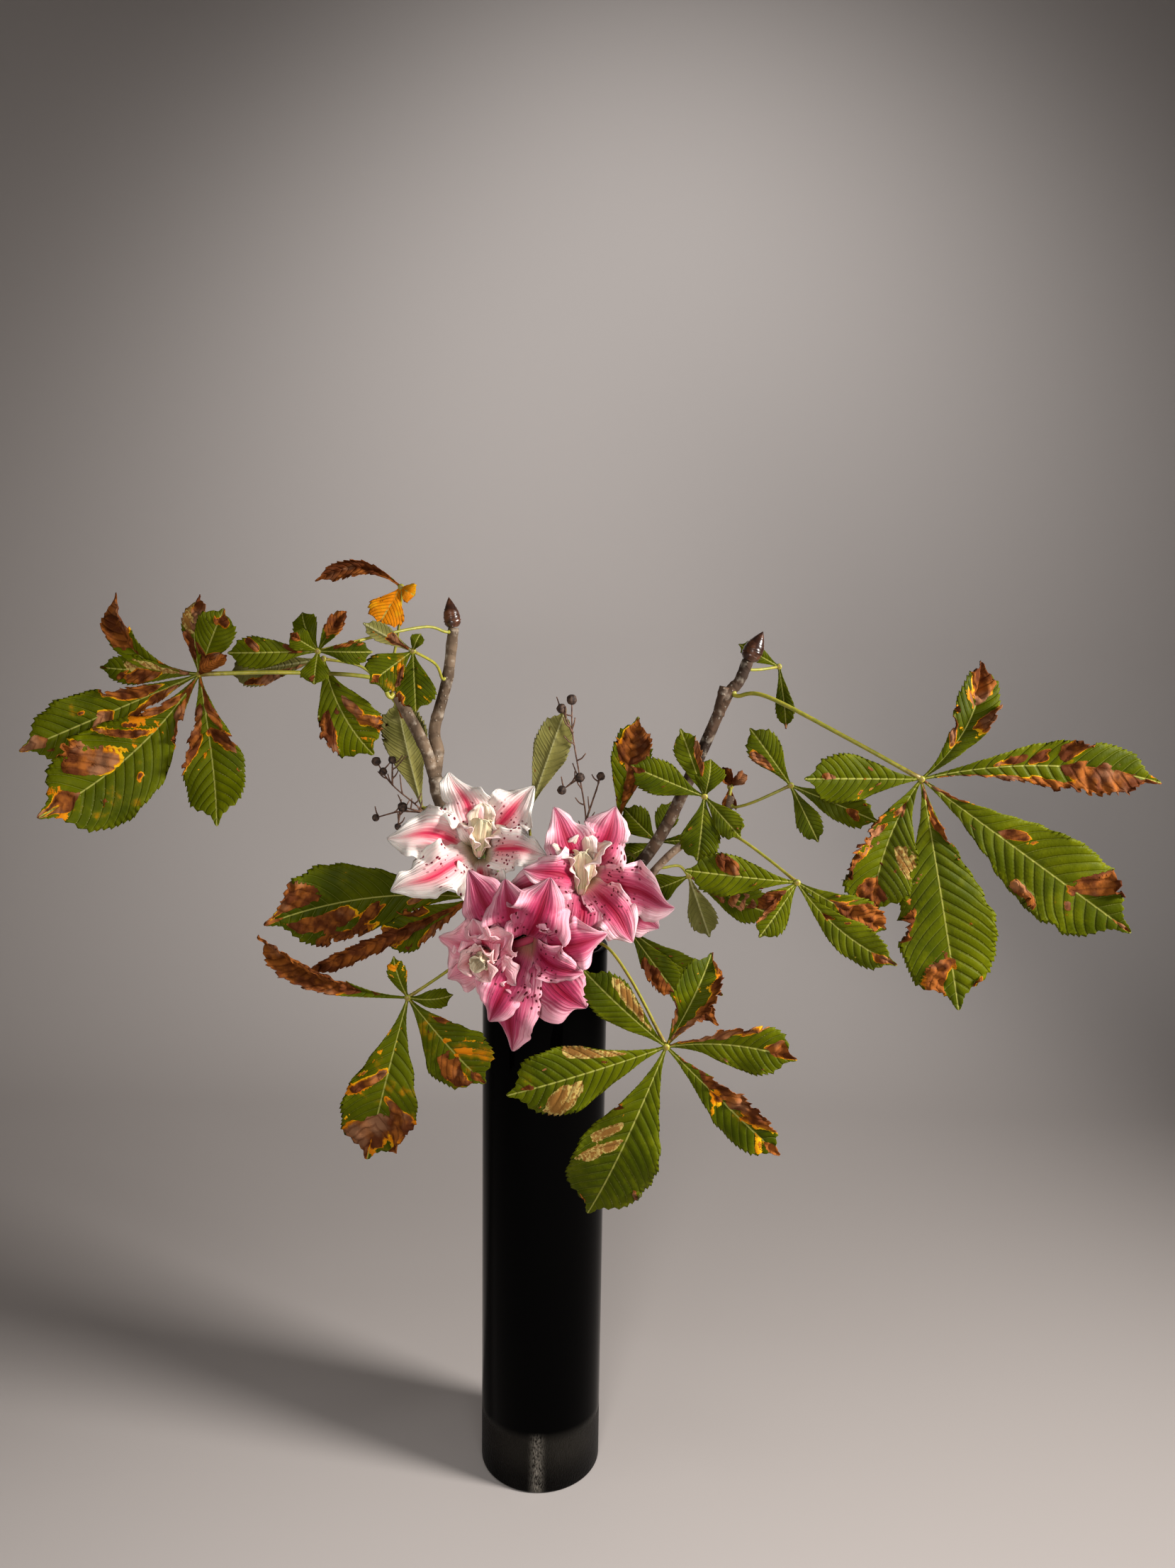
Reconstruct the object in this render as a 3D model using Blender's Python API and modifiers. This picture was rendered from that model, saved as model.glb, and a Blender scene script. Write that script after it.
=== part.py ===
"""Ikebana arrangement: horse-chestnut branches, palmate leaves and double lilies in a tall vase.

Metres, +Z up. The origin is at the middle of the vase's foot, on the surface that it stands on.
The arrangement is spread along X, and its front looks along -Y.
"""

import math

import bmesh
import bpy
import numpy as np
from mathutils import Vector

# Vase
VASE_RADIUS = 0.055
VASE_HEIGHT = 0.50
VASE_WALL = 0.006
VASE_BASE = 0.050
FOOT_ROUNDING = 0.003
LIP_ROUNDING = 0.002
VASE_SIDES = 40

# Fits and thicknesses
SEAT_GAP = 0.0004
LEAF_THICKNESS = 0.0010
TEPAL_THICKNESS = 0.0012
PETIOLE_RADIUS = 0.0013
HUB_RADIUS = 0.0032
LILY_STEM_RADIUS = 0.003
BRANCH_RADIUS = 0.006

# A stem's foot stands nearer the vase's axis than its place at the mouth, so no two stems cross.
FOOT_SHARE = 0.55

FRONT = Vector((0, -1, 0))
UP = Vector((0, 0, 1))

# Branches: each route starts at the vase's mouth; a stem's foot is added below it.
BRANCH_LEFT = [(-0.036, 0.006, 0.50), (-0.065, 0.014, 0.565), (-0.093, 0.020, 0.617),
               (-0.099, 0.020, 0.642)]
FORK_LEFT = [(-0.099, 0.020, 0.642), (-0.107, 0.016, 0.668), (-0.117, 0.012, 0.690),
             (-0.126, 0.010, 0.707), (-0.132, 0.010, 0.719)]
FORK_RIGHT = [(-0.099, 0.020, 0.642), (-0.097, 0.024, 0.664), (-0.100, 0.025, 0.680),
              (-0.096, 0.025, 0.700), (-0.088, 0.025, 0.730), (-0.083, 0.025, 0.772)]
BRANCH_RIGHT = [(0.034, 0.014, 0.50), (0.070, 0.018, 0.550), (0.102, 0.020, 0.596),
                (0.134, 0.020, 0.667), (0.154, 0.020, 0.716), (0.165, 0.020, 0.730),
                (0.172, 0.020, 0.748)]
STUB_RIGHT = [(0.148, 0.020, 0.700), (0.153, 0.020, 0.725)]
TWIG_RIGHT = [(0.038, -0.008, 0.50), (0.070, -0.014, 0.540), (0.102, -0.020, 0.580),
              (0.121, -0.022, 0.597), (0.150, -0.022, 0.617), (0.157, -0.020, 0.636)]


# ---------------------------------------------------------------- helpers


def clear_scene():
    for obj in list(bpy.data.objects):
        bpy.data.objects.remove(obj, do_unlink=True)


def collection(name, hidden=False):
    made = bpy.data.collections.new(name)
    made.hide_render = hidden
    bpy.context.scene.collection.children.link(made)
    return made


def material(name, colour, roughness=0.6):
    made = bpy.data.materials.new(name)
    made.use_nodes = True
    shader = made.node_tree.nodes["Principled BSDF"]
    shader.inputs["Base Color"].default_value = (*colour, 1)
    shader.inputs["Roughness"].default_value = roughness
    shader.inputs["Metallic"].default_value = 0
    return made


def new_object(name, mesh, finish=None):
    obj = bpy.data.objects.new(name, mesh)
    PARTS.objects.link(obj)
    if finish:
        mesh.materials.clear()
        mesh.materials.append(finish)
    return obj


def bezier(points, s):
    """A cubic Bezier through two end points, drawn towards the two between them."""
    a, b, c, d = (np.asarray(p, float) for p in points)
    s = np.asarray(s, float)[..., None]
    return (1 - s) ** 3 * a + 3 * (1 - s) ** 2 * s * b + 3 * (1 - s) * s**2 * c + s**3 * d


def smooth_route(points, steps):
    """Catmull-Rom: a smooth curve through every point, with steps pieces to a span."""
    points = np.asarray(points, float)
    ends = np.vstack([2 * points[0] - points[1], points, 2 * points[-1] - points[-2]])
    out = []
    for i in range(len(points) - 1):
        a, b, c, d = ends[i : i + 4]
        for k in range(steps):
            u = k / steps
            out.append(
                0.5 * (2 * b + (c - a) * u + (2 * a - 5 * b + 4 * c - d) * u**2
                       + (3 * b - a - 3 * c + d) * u**3)
            )
    out.append(points[-1])
    return [Vector(p) for p in out]


def stem_line(points, start_radius, end_radius=None, steps=2):
    """A smooth line of (place, radius) pairs; the radius changes evenly along it."""
    places = smooth_route(points, steps)
    end_radius = start_radius if end_radius is None else end_radius
    return list(zip(places, np.linspace(start_radius, end_radius, len(places))))


def tube(line, sides=6):
    """A round stem along a line of (place, radius) pairs, as a closed mesh."""
    thick = float(line[0][1])
    curve = bpy.data.curves.new("stem_curve", "CURVE")
    curve.dimensions = "3D"
    curve.bevel_depth = thick
    curve.bevel_resolution = sides // 2 - 2
    curve.use_fill_caps = True
    spline = curve.splines.new("POLY")
    spline.points.add(len(line) - 1)
    for point, (place, radius) in zip(spline.points, line):
        point.co = (*place, 1)
        point.radius = radius / thick
    holder = bpy.data.objects.new("stem_curve", curve)
    HELPERS.objects.link(holder)
    graph = bpy.context.evaluated_depsgraph_get()
    mesh = bpy.data.meshes.new_from_object(holder.evaluated_get(graph))
    bpy.data.objects.remove(holder)
    return tidy_mesh(mesh)


def tidy_mesh(mesh):
    bm = bmesh.new()
    bm.from_mesh(mesh)
    bmesh.ops.remove_doubles(bm, verts=bm.verts, dist=1e-6)
    bmesh.ops.recalc_face_normals(bm, faces=bm.faces)
    bm.to_mesh(mesh)
    bm.free()
    return mesh


def ball(centre, radius, segments=8, rings=5, stretch=1.0):
    bm = bmesh.new()
    bmesh.ops.create_uvsphere(bm, u_segments=segments, v_segments=rings, radius=radius)
    bmesh.ops.scale(bm, vec=(1, 1, stretch), verts=bm.verts)
    bmesh.ops.translate(bm, vec=centre, verts=bm.verts)
    mesh = bpy.data.meshes.new("ball")
    bm.to_mesh(mesh)
    bm.free()
    return mesh


def turned(profile, sides):
    """A shape turned about Z from its profile, which runs down its outer side."""
    mesh = bpy.data.meshes.new("turned")
    pairs = [(i, i + 1) for i in range(len(profile) - 1)]
    mesh.from_pydata([(r, 0, z) for r, z in profile], pairs, [])
    holder = bpy.data.objects.new("turned", mesh)
    HELPERS.objects.link(holder)
    screw = holder.modifiers.new("turn", "SCREW")
    screw.axis = "Z"
    screw.steps = screw.render_steps = sides
    screw.use_merge_vertices = True
    screw.merge_threshold = 1e-5
    graph = bpy.context.evaluated_depsgraph_get()
    made = bpy.data.meshes.new_from_object(holder.evaluated_get(graph))
    bpy.data.objects.remove(holder)
    return tidy_mesh(made)


def united(name, meshes, finish, solver="EXACT"):
    """One closed body: the first mesh, with every other one joined to it by a Boolean.

    Thin blades that cross at a hub come apart in the exact solver, so they take MANIFOLD.
    """
    body = new_object(name, meshes[0], finish)
    for mesh in meshes[1:]:
        helper = bpy.data.objects.new(name + "_shape", mesh)
        helper.hide_render = True
        helper.display_type = "WIRE"
        HELPERS.objects.link(helper)
        join = body.modifiers.new("join", "BOOLEAN")
        join.operation = "UNION"
        join.solver = solver
        join.object = helper
    return body


def blade(origin, along, face, bend, width, thickness, base_width, tip_width,
          widest=0.62, fullness=1.1, fold=0, roll=0, bow=0, rows=5):
    """A leaflet or tepal: a grid bent along its midrib and folded about it, made a thin solid.

    bend holds four (along, face) points of the midrib's Bezier. At the share s of its length the
    half width is that of base_width and tip_width in proportion, plus half of width times
    sin(pi s^k)^fullness, with k set so that the widest place is at s = widest. Each half rises
    from the midrib by the angle fold, and the whole is rolled about the midrib by roll.
    """
    origin, along, face = (np.array(v, float) for v in (origin, along, face))
    side = np.cross(face, along)
    power = math.log(0.5) / math.log(widest)
    turn, lift = math.radians(roll), math.radians(fold)
    corners = [(x, y, bow if 0 < i < 3 else 0) for i, (x, y) in enumerate(bend)]
    basis = np.stack([along, face, side])

    def place(s, t):
        on_rib = bezier(corners, s) @ basis
        ahead = (bezier(corners, min(s + 0.01, 1)) - bezier(corners, max(s - 0.01, 0))) @ basis
        ahead /= np.linalg.norm(ahead)
        across = side - ahead * (side @ ahead)
        across /= np.linalg.norm(across)
        out = np.cross(ahead, across)
        across, out = (across * math.cos(turn) + out * math.sin(turn),
                       out * math.cos(turn) - across * math.sin(turn))
        swell = max(math.sin(math.pi * s**power), 0) ** fullness
        half = (base_width * (1 - s) + tip_width * s + width * swell) / 2
        return origin + on_rib + half * (across * t * math.cos(lift) + out * abs(t) * math.sin(lift))

    bm = bmesh.new()
    bmesh.ops.create_grid(bm, x_segments=2, y_segments=rows, size=1)
    for v in bm.verts:
        v.co = place((v.co.y + 1) / 2, v.co.x)
    mesh = bpy.data.meshes.new("blade")
    bm.to_mesh(mesh)
    bm.free()
    holder = bpy.data.objects.new("blade", mesh)
    HELPERS.objects.link(holder)
    wall = holder.modifiers.new("thickness", "SOLIDIFY")
    wall.thickness = thickness
    wall.offset = 0
    graph = bpy.context.evaluated_depsgraph_get()
    made = bpy.data.meshes.new_from_object(holder.evaluated_get(graph))
    bpy.data.objects.remove(holder)
    return tidy_mesh(made)


def beside(line, height, toward):
    """A point just off a stem's surface at a height, on the side that looks towards a point.

    Returns it with the direction that leaves the stem squarely there.
    """
    for (low, low_radius), (high, high_radius) in zip(line, line[1:]):
        if low.z <= height <= high.z:
            break
    share = min(max((height - low.z) / (high.z - low.z), 0), 1)
    axis = (high - low).normalized()
    centre = low.lerp(high, share)
    radius = low_radius * (1 - share) + high_radius * share
    out = Vector(toward) - centre
    out = (out - axis * out.dot(axis)).normalized()
    return centre + out * (radius + SEAT_GAP), out


def in_vase(mouth, radius):
    """The foot of a stem that stands on the vase's floor and leaves at the given mouth place."""
    x, y, z = mouth
    run = math.hypot(x, y) * (1 - FOOT_SHARE)
    tilt = math.atan2(run, z - VASE_BASE)
    return (x * FOOT_SHARE, y * FOOT_SHARE, VASE_BASE + SEAT_GAP + radius * math.sin(tilt))


# ---------------------------------------------------------------- vase and branches


def make_vase():
    inner = VASE_RADIUS - VASE_WALL
    profile = [(0, VASE_BASE), (inner - FOOT_ROUNDING, VASE_BASE), (inner, VASE_BASE + FOOT_ROUNDING),
               (inner, VASE_HEIGHT - LIP_ROUNDING)]
    middle = VASE_RADIUS - VASE_WALL / 2
    for k in range(1, 4):
        angle = math.pi * (1 - k / 4)
        profile.append((middle + VASE_WALL / 2 * math.cos(angle),
                        VASE_HEIGHT - LIP_ROUNDING + LIP_ROUNDING * math.sin(angle)))
    profile += [(VASE_RADIUS, VASE_HEIGHT - LIP_ROUNDING), (VASE_RADIUS, FOOT_ROUNDING),
                (VASE_RADIUS - FOOT_ROUNDING * 0.3, FOOT_ROUNDING * 0.3),
                (VASE_RADIUS - FOOT_ROUNDING, 0), (0, 0)]
    vase = new_object("vase", turned(profile, VASE_SIDES), GLASS)
    vase.data.shade_smooth()
    vase.data.set_sharp_from_angle(angle=math.radians(40))


def rooted(route, start_radius, end_radius):
    """The line of a stem that stands on the vase's floor."""
    return stem_line([in_vase(route[0], start_radius)] + route, start_radius, end_radius)


def make_branches():
    united("branch_left", [tube(LEFT, 8), tube(LEFT_FORK, 8), tube(RIGHT_FORK, 8)], BARK)
    united("branch_right", [tube(RIGHT, 8), tube(stem_line(STUB_RIGHT, 0.0052, 0.0050), 8)], BARK)
    united("twig_right", [tube(TWIG, 8)], BARK)


def make_bud(name, line, tip, width, neck):
    """A pointed sticky bud, turned about its own axis, on the end of a branch."""
    base = line[-1][0]
    axis = (Vector(tip) - base).normalized()
    lean = axis.angle(base - line[-2][0])
    base = base + axis * (SEAT_GAP + neck * math.sin(lean))
    length = (Vector(tip) - base).length
    profile = [(0, length)]
    for k in range(1, 7):
        s = 1 - k / 7
        swell = math.sin(math.pi * s**0.75) ** 0.9
        profile.append((neck * (1 - s) + (width / 2 - neck / 2) * swell, length * s))
    profile += [(neck, 0), (0, 0)]
    bud = new_object(name, turned(profile, 10), BUD)
    bud.rotation_mode = "QUATERNION"
    bud.rotation_quaternion = axis.to_track_quat("Z", "Y")
    bud.location = base
    bud.data.shade_smooth()


# ---------------------------------------------------------------- leaves


def leaflet(angle, length, width, forward=0.0, arch=0.006, curl=0.004, fold=8, roll=0, bow=0.0):
    """angle 0 points right and 90 up, seen from the front; forward is how far the tip comes."""
    return dict(angle=math.radians(angle), length=length, width=width, forward=forward,
                arch=arch, curl=curl, fold=fold, roll=roll, bow=bow)


def make_leaf(name, hub, stalk, leaflets, finish, start=None):
    """One palmate leaf: petiole, hub and leaflets grown as one piece.

    start is (the branch's line, height on it), or None for a stalk whose first point is given;
    the stalk then starts just off the branch and leaves it squarely.
    """
    route = [Vector(p) for p in stalk] + [Vector(hub)]
    if start:
        foot, out = beside(*start, route[0])
        route = [foot, foot + out * 0.005] + route
    shapes = [tube(stem_line(route, PETIOLE_RADIUS)), ball(hub, HUB_RADIUS, 6, 4)]
    for item in leaflets:
        along = Vector((math.cos(item["angle"]), 0, math.sin(item["angle"])))
        length, rise = item["length"], item["arch"]
        bend = [(0, 0), (length / 3, rise), (length * 2 / 3, rise + item["curl"]),
                (length, item["forward"])]
        shapes.append(
            blade(hub, along, FRONT, bend, item["width"], LEAF_THICKNESS, 0.003, 0.0016,
                  fold=item["fold"], roll=item["roll"], bow=item["bow"],
                  rows=5 if length > 0.09 else 4 if length > 0.04 else 3)
        )
    united(name, shapes, finish, "MANIFOLD")


def over_rim(x, y, radius=PETIOLE_RADIUS):
    """Where a thin stalk leans on the lip of the vase, on the bearing of (x, y)."""
    reach = VASE_RADIUS - VASE_WALL - radius - SEAT_GAP
    scale = reach / math.hypot(x, y)
    return (x * scale, y * scale, VASE_HEIGHT)


def rim_stalk(x, y, depth=0.09):
    """The hidden lower end of a stalk in the vase, up to just above its lip."""
    a, b, z = over_rim(x, y)
    return [(a * 0.6, b * 0.6, z - depth), (a * 0.93, b * 0.93, z - depth * 0.35), (a, b, z - 0.004),
            (a, b, z + 0.008)]


def make_left_leaves():
    make_leaf("leaf_far_left", (-0.289, -0.022, 0.732), [(-0.150, -0.004, 0.730),
              (-0.218, -0.016, 0.734)],
              [leaflet(204, 0.158, 0.048, 0.02),
               leaflet(224, 0.164, 0.078, 0.05, arch=0.012, bow=0.014),
               leaflet(280, 0.123, 0.050, 0.035), leaflet(140, 0.097, 0.026, -0.03, fold=30),
               leaflet(177, 0.083, 0.022, 0.0), leaflet(65, 0.060, 0.032, 0.01),
               leaflet(93, 0.064, 0.020, -0.02), leaflet(37, 0.026, 0.014, -0.01)],
              LEAF, (LEFT_FORK, 0.716))
    make_leaf("leaf_near_left", (-0.183, -0.052, 0.754), [(-0.104, 0.006, 0.773),
              (-0.135, -0.022, 0.767), (-0.161, -0.042, 0.760)],
              [leaflet(182, 0.073, 0.024, 0.0), leaflet(267, 0.026, 0.021, 0.01),
               leaflet(115, 0.034, 0.019, -0.01), leaflet(144, 0.024, 0.018, 0.01),
               leaflet(54, 0.040, 0.016, 0.0, fold=35), leaflet(0, 0.044, 0.018, 0.0)],
              LEAF, (RIGHT_FORK, 0.768))
    make_leaf("leaf_near_left_back", (-0.194, 0.016, 0.744), [(-0.146, 0.024, 0.722), (-0.164, 0.022, 0.738)],
              [leaflet(297, 0.093, 0.052, 0.0, bow=-0.008), leaflet(190, 0.089, 0.027, -0.02)],
              LEAF, (LEFT_FORK, 0.706))
    make_leaf("leaf_fork_left", (-0.111, -0.024, 0.754), [(-0.096, 0.002, 0.742)],
              [leaflet(218, 0.042, 0.032, 0.015), leaflet(275, 0.049, 0.032, 0.015),
               leaflet(149, 0.044, 0.014, 0.016), leaflet(65, 0.016, 0.010, 0.0)],
              LEAF, (RIGHT_FORK, 0.728))
    make_leaf("leaf_dry_top_left", (-0.125, 0.006, 0.806), [(-0.138, 0.030, 0.730),
              (-0.132, 0.030, 0.765), (-0.127, 0.016, 0.792)],
              [leaflet(242, 0.036, 0.029, 0.015), leaflet(177, 0.068, 0.024, 0.02, fold=50, bow=-0.018),
               leaflet(330, 0.014, 0.016, 0.0)],
              DRY, (LEFT_FORK, 0.712))
    make_leaf("leaf_behind_left", (-0.115, 0.055, 0.607), [(-0.106, 0.048, 0.610)],
              [leaflet(103, 0.104, 0.038, -0.005, roll=180)], PALE_LEAF, (LEFT, 0.612))


def make_low_left_leaves():
    make_leaf("leaf_low_left_large", (-0.060, -0.028, 0.546), [(-0.058, -0.014, 0.550)],
              [leaflet(186, 0.172, 0.064, 0.03, arch=0.008, bow=-0.014), leaflet(206, 0.092, 0.036, 0.0),
               leaflet(201, 0.150, 0.022, 0.060, arch=0.012, fold=45, bow=0.004)],
              LEAF, (LEFT, 0.548))
    make_leaf("leaf_low_left_hand", (-0.106, -0.100, 0.482), rim_stalk(-0.62, -0.78)
              + [(-0.052, -0.062, 0.512), (-0.080, -0.086, 0.497)],
              [leaflet(159, 0.130, 0.026, -0.01, fold=45, bow=0.012), leaflet(108, 0.036, 0.014),
               leaflet(2, 0.036, 0.015, -0.005), leaflet(311, 0.095, 0.050, 0.0),
               leaflet(256, 0.143, 0.058, 0.0, arch=0.010)], LEAF)


def make_centre_leaves():
    make_leaf("leaf_pale_centre", (-0.018, 0.048, 0.607), rim_stalk(-0.2, 0.95)
              + [(-0.014, 0.048, 0.550)],
              [leaflet(71, 0.100, 0.030, 0.0, roll=180)], PALE_LEAF)
    make_leaf("leaf_brown_centre", (0.062, 0.044, 0.597), [(0.066, 0.034, 0.580)],
              [leaflet(80, 0.100, 0.036, 0.0, fold=25)], DRY, (RIGHT, 0.568))
    make_leaf("leaf_low_centre", (0.100, 0.062, 0.578), [(0.101, 0.048, 0.586)],
              [leaflet(135, 0.045, 0.026), leaflet(72, 0.040, 0.020), leaflet(205, 0.040, 0.020),
               leaflet(8, 0.060, 0.018)], LEAF, (RIGHT, 0.592))


def make_right_leaves():
    make_leaf("leaf_far_right", (0.305, -0.060, 0.659), [(0.186, 0.000, 0.719),
              (0.250, -0.035, 0.688)],
              [leaflet(179, 0.098, 0.038, 0.02), leaflet(63, 0.107, 0.032, -0.02, fold=25, bow=-0.006),
               leaflet(0, 0.194, 0.042, 0.0, bow=0.018), leaflet(325, 0.209, 0.066, 0.02, arch=0.012),
               leaflet(281, 0.191, 0.076, 0.02, arch=0.012),
               leaflet(252, 0.118, 0.060, 0.01, fold=20, bow=-0.012)],
              LEAF, (RIGHT, 0.722))
    make_leaf("leaf_small_right", (0.130, -0.060, 0.642), [(0.132, -0.044, 0.626)],
              [leaflet(157, 0.066, 0.028, 0.01), leaflet(111, 0.059, 0.021, 0.0),
               leaflet(80, 0.030, 0.024, -0.01), leaflet(313, 0.043, 0.021, 0.01),
               leaflet(265, 0.053, 0.031, 0.005)], LEAF, (TWIG, 0.604))
    make_leaf("leaf_fork_right", (0.203, -0.040, 0.649), [(0.175, -0.034, 0.634)],
              [leaflet(127, 0.059, 0.025, 0.0), leaflet(340, 0.071, 0.025, 0.03),
               leaflet(297, 0.051, 0.019, 0.01)], LEAF, (TWIG, 0.628))
    make_leaf("leaf_middle_right", (0.205, -0.078, 0.576), [(0.161, -0.038, 0.604),
              (0.183, -0.056, 0.591)],
              [leaflet(173, 0.092, 0.033, 0.01), leaflet(332, 0.087, 0.029, -0.01),
               leaflet(322, 0.100, 0.028, 0.02, bow=-0.010), leaflet(235, 0.053, 0.023, 0.01),
               leaflet(214, 0.039, 0.015, 0.0)], LEAF, (TWIG, 0.611))
    make_leaf("leaf_bud_right", (0.202, 0.040, 0.742), [(0.188, 0.034, 0.740)],
              [leaflet(152, 0.041, 0.014), leaflet(279, 0.055, 0.015)],
              PALE_LEAF, (RIGHT, 0.742))
    make_leaf("leaf_behind_right", (0.125, 0.004, 0.560), [(0.116, 0.000, 0.570)],
              [leaflet(290, 0.055, 0.023, 0.01, roll=180), leaflet(337, 0.066, 0.018, 0.0),
               leaflet(200, 0.045, 0.025, 0.0), leaflet(335, 0.086, 0.030, -0.01)],
              LEAF, (TWIG, 0.574))
    make_leaf("leaf_dry_twig", (0.157, -0.008, 0.642), [(0.157, -0.012, 0.639)],
              [leaflet(112, 0.018, 0.013, 0.0, fold=20), leaflet(48, 0.016, 0.012, 0.0, fold=20),
               leaflet(265, 0.020, 0.014, -0.006, fold=15)],
              DRY, (TWIG, 0.633))


def make_low_right_leaves():
    make_leaf("leaf_low_right_hand", (0.098, -0.150, 0.464), rim_stalk(0.72, -0.70)
              + [(0.052, -0.070, 0.518), (0.072, -0.108, 0.502)],
              [leaflet(137, 0.087, 0.030), leaflet(65, 0.079, 0.034, -0.01, fold=20),
               leaflet(357, 0.098, 0.037, 0.01, bow=0.010), leaflet(317, 0.121, 0.033, 0.01),
               leaflet(248, 0.154, 0.063, -0.01, arch=0.010),
               leaflet(197, 0.126, 0.050, 0.01, arch=0.008)], LEAF)
    make_leaf("leaf_low_right_back", (0.072, -0.034, 0.522), [(0.070, -0.028, 0.528)],
              [leaflet(308, 0.070, 0.027, 0.01), leaflet(325, 0.100, 0.026, 0.0),
               leaflet(314, 0.112, 0.025, 0.01)], LEAF, (TWIG, 0.546))


# ---------------------------------------------------------------- lilies

RING_RADIUS = (0.0066, 0.0049, 0.0033)
RING_LEVEL = (0.0005, 0.0045, 0.0085)
RECEPTACLE_LENGTH = 0.0115
HEART_REACH = 0.032
HEART_TEPALS = 5
THROAT = 0.045


def receptacle_profile():
    """Three steps, each a seat for one ring of tepals."""
    clear = TEPAL_THICKNESS / 2 + SEAT_GAP
    a, b, c = (r - clear for r in RING_RADIUS)
    return [(0, RECEPTACLE_LENGTH), (c, RECEPTACLE_LENGTH), (c, RING_LEVEL[2] - 0.001),
            (b, RING_LEVEL[2] - 0.001), (b, RING_LEVEL[1] - 0.001), (a, RING_LEVEL[1] - 0.001),
            (a, -0.002), (LILY_STEM_RADIUS * 1.2, -0.007), (0, -0.007)]


def tepal(clock, reach, width, back=0.0, ring=0, fold=10, roll=0):
    """clock 0 points right and 90 up in the flower's face; back is how far the tip curls back."""
    return dict(clock=math.radians(clock), reach=reach, width=width, back=back, ring=ring,
                fold=fold, roll=roll)


def make_lily(name, centre, facing, stem, tepals, heart, finish):
    facing = Vector(facing).normalized()
    upward = (UP - facing * UP.dot(facing)).normalized()
    rightward = upward.cross(facing)
    seat = Vector(centre) - facing * THROAT
    stem_end = seat - facing * 0.006
    route = stem + [seat - facing * 0.016, stem_end]
    holder = turned(receptacle_profile(), 12)
    holder.transform(facing.to_track_quat("Z", "Y").to_matrix().to_4x4())
    for v in holder.vertices:
        v.co += seat
    stem = tube(rooted(route, LILY_STEM_RADIUS, LILY_STEM_RADIUS), 8)
    united(name + "_stem", [stem, holder], STEM)
    for number, item in enumerate(tepals, 1):
        along = rightward * math.cos(item["clock"]) + upward * math.sin(item["clock"])
        ring, reach = item["ring"], item["reach"]
        rise = 0.006 * ring
        bend = [(RING_RADIUS[ring], RING_LEVEL[ring]),
                (RING_RADIUS[ring] * 1.9, THROAT * 0.72 + rise),
                (reach * 0.50, THROAT * 1.28 + rise),
                (reach, THROAT * 0.95 + rise - item["back"])]
        mesh = blade(seat, along, facing, bend, item["width"], TEPAL_THICKNESS,
                     0.0050 - 0.0010 * ring, 0.002, widest=0.60, fullness=0.9,
                     fold=item["fold"], roll=item["roll"], rows=5)
        new_object(f"{name}_tepal_{number}", mesh, finish)
    make_heart(name, seat, facing, upward, rightward, *heart)


def make_heart(name, seat, facing, upward, rightward, lean, length, spread):
    """The small inner bloom: a short stalk with narrow tepals folded round it."""
    start = seat + facing * (RECEPTACLE_LENGTH + SEAT_GAP)
    offset = rightward * lean[0] + upward * lean[1]
    knob = start + facing * 0.014 + offset * 0.6
    axis = (facing * HEART_REACH + offset).normalized()
    stalk = stem_line([start, start + facing * 0.004, start + facing * 0.008, knob],
                      0.0019, 0.0026, steps=1)
    shapes = [tube(stalk), ball(knob, 0.0036, 6, 4)]
    first = (upward - axis * upward.dot(axis)).normalized()
    second = axis.cross(first)
    for k in range(HEART_TEPALS):
        angle = 2 * math.pi * k / HEART_TEPALS
        along = first * math.cos(angle) + second * math.sin(angle)
        bend = [(0.001, 0), (0.008, length * 0.3), (0.004 + spread * 0.6, length * 0.75),
                (0.004 + spread, length)]
        shapes.append(blade(knob, along, axis, bend, 0.008 + spread * 0.35, TEPAL_THICKNESS,
                            0.003, 0.002, widest=0.55, fullness=0.8, fold=20, rows=3))
    united(name + "_heart", shapes, CREAM, "MANIFOLD")


def make_lilies():
    make_lily("lily_white", (-0.053, -0.066, 0.599), (0.05, -0.93, 0.30),
              [(-0.014, 0.004, 0.50), (-0.034, 0.006, 0.545)],
              [tepal(102, 0.062, 0.026, 0.010, ring=1), tepal(45, 0.068, 0.028, 0.004),
               tepal(355, 0.052, 0.026, 0.000, ring=1), tepal(277, 0.064, 0.026, -0.012),
               tepal(215, 0.078, 0.028, 0.002, ring=1), tepal(166, 0.072, 0.030, 0.004)],
              ((0.0, 0.006), 0.026, 0.003), WHITE_TEPAL)
    make_lily("lily_pink", (0.038, -0.070, 0.571), (0.25, -0.95, 0.10),
              [(0.012, -0.010, 0.50), (0.016, -0.004, 0.540)],
              [tepal(117, 0.068, 0.028, 0.010, ring=1), tepal(66, 0.064, 0.026, 0.004),
               tepal(352, 0.070, 0.026, 0.000, ring=1), tepal(310, 0.055, 0.024, 0.000, ring=2),
               tepal(324, 0.078, 0.026, 0.020), tepal(255, 0.060, 0.022, 0.000, ring=1),
               tepal(180, 0.070, 0.028, 0.010), tepal(160, 0.054, 0.022, 0.004, ring=2)],
              ((0.004, 0.009), 0.030, 0.003), PINK_TEPAL)
    make_lily("lily_low", (-0.012, -0.110, 0.524), (-0.05, -0.95, -0.10),
              [(-0.006, -0.024, 0.50), (-0.007, -0.034, 0.521)],
              [tepal(131, 0.077, 0.030, 0.012), tepal(104, 0.060, 0.030, 0.006, ring=1),
               tepal(73, 0.063, 0.030, 0.010, ring=2), tepal(12, 0.064, 0.026, 0.010, ring=1),
               tepal(345, 0.046, 0.020, 0.000, ring=2), tepal(310, 0.068, 0.032, 0.014),
               tepal(256, 0.088, 0.028, 0.008, ring=1), tepal(243, 0.058, 0.022, 0.000, ring=2)],
              ((-0.038, 0.000), 0.027, 0.017), PINK_TEPAL)


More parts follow.
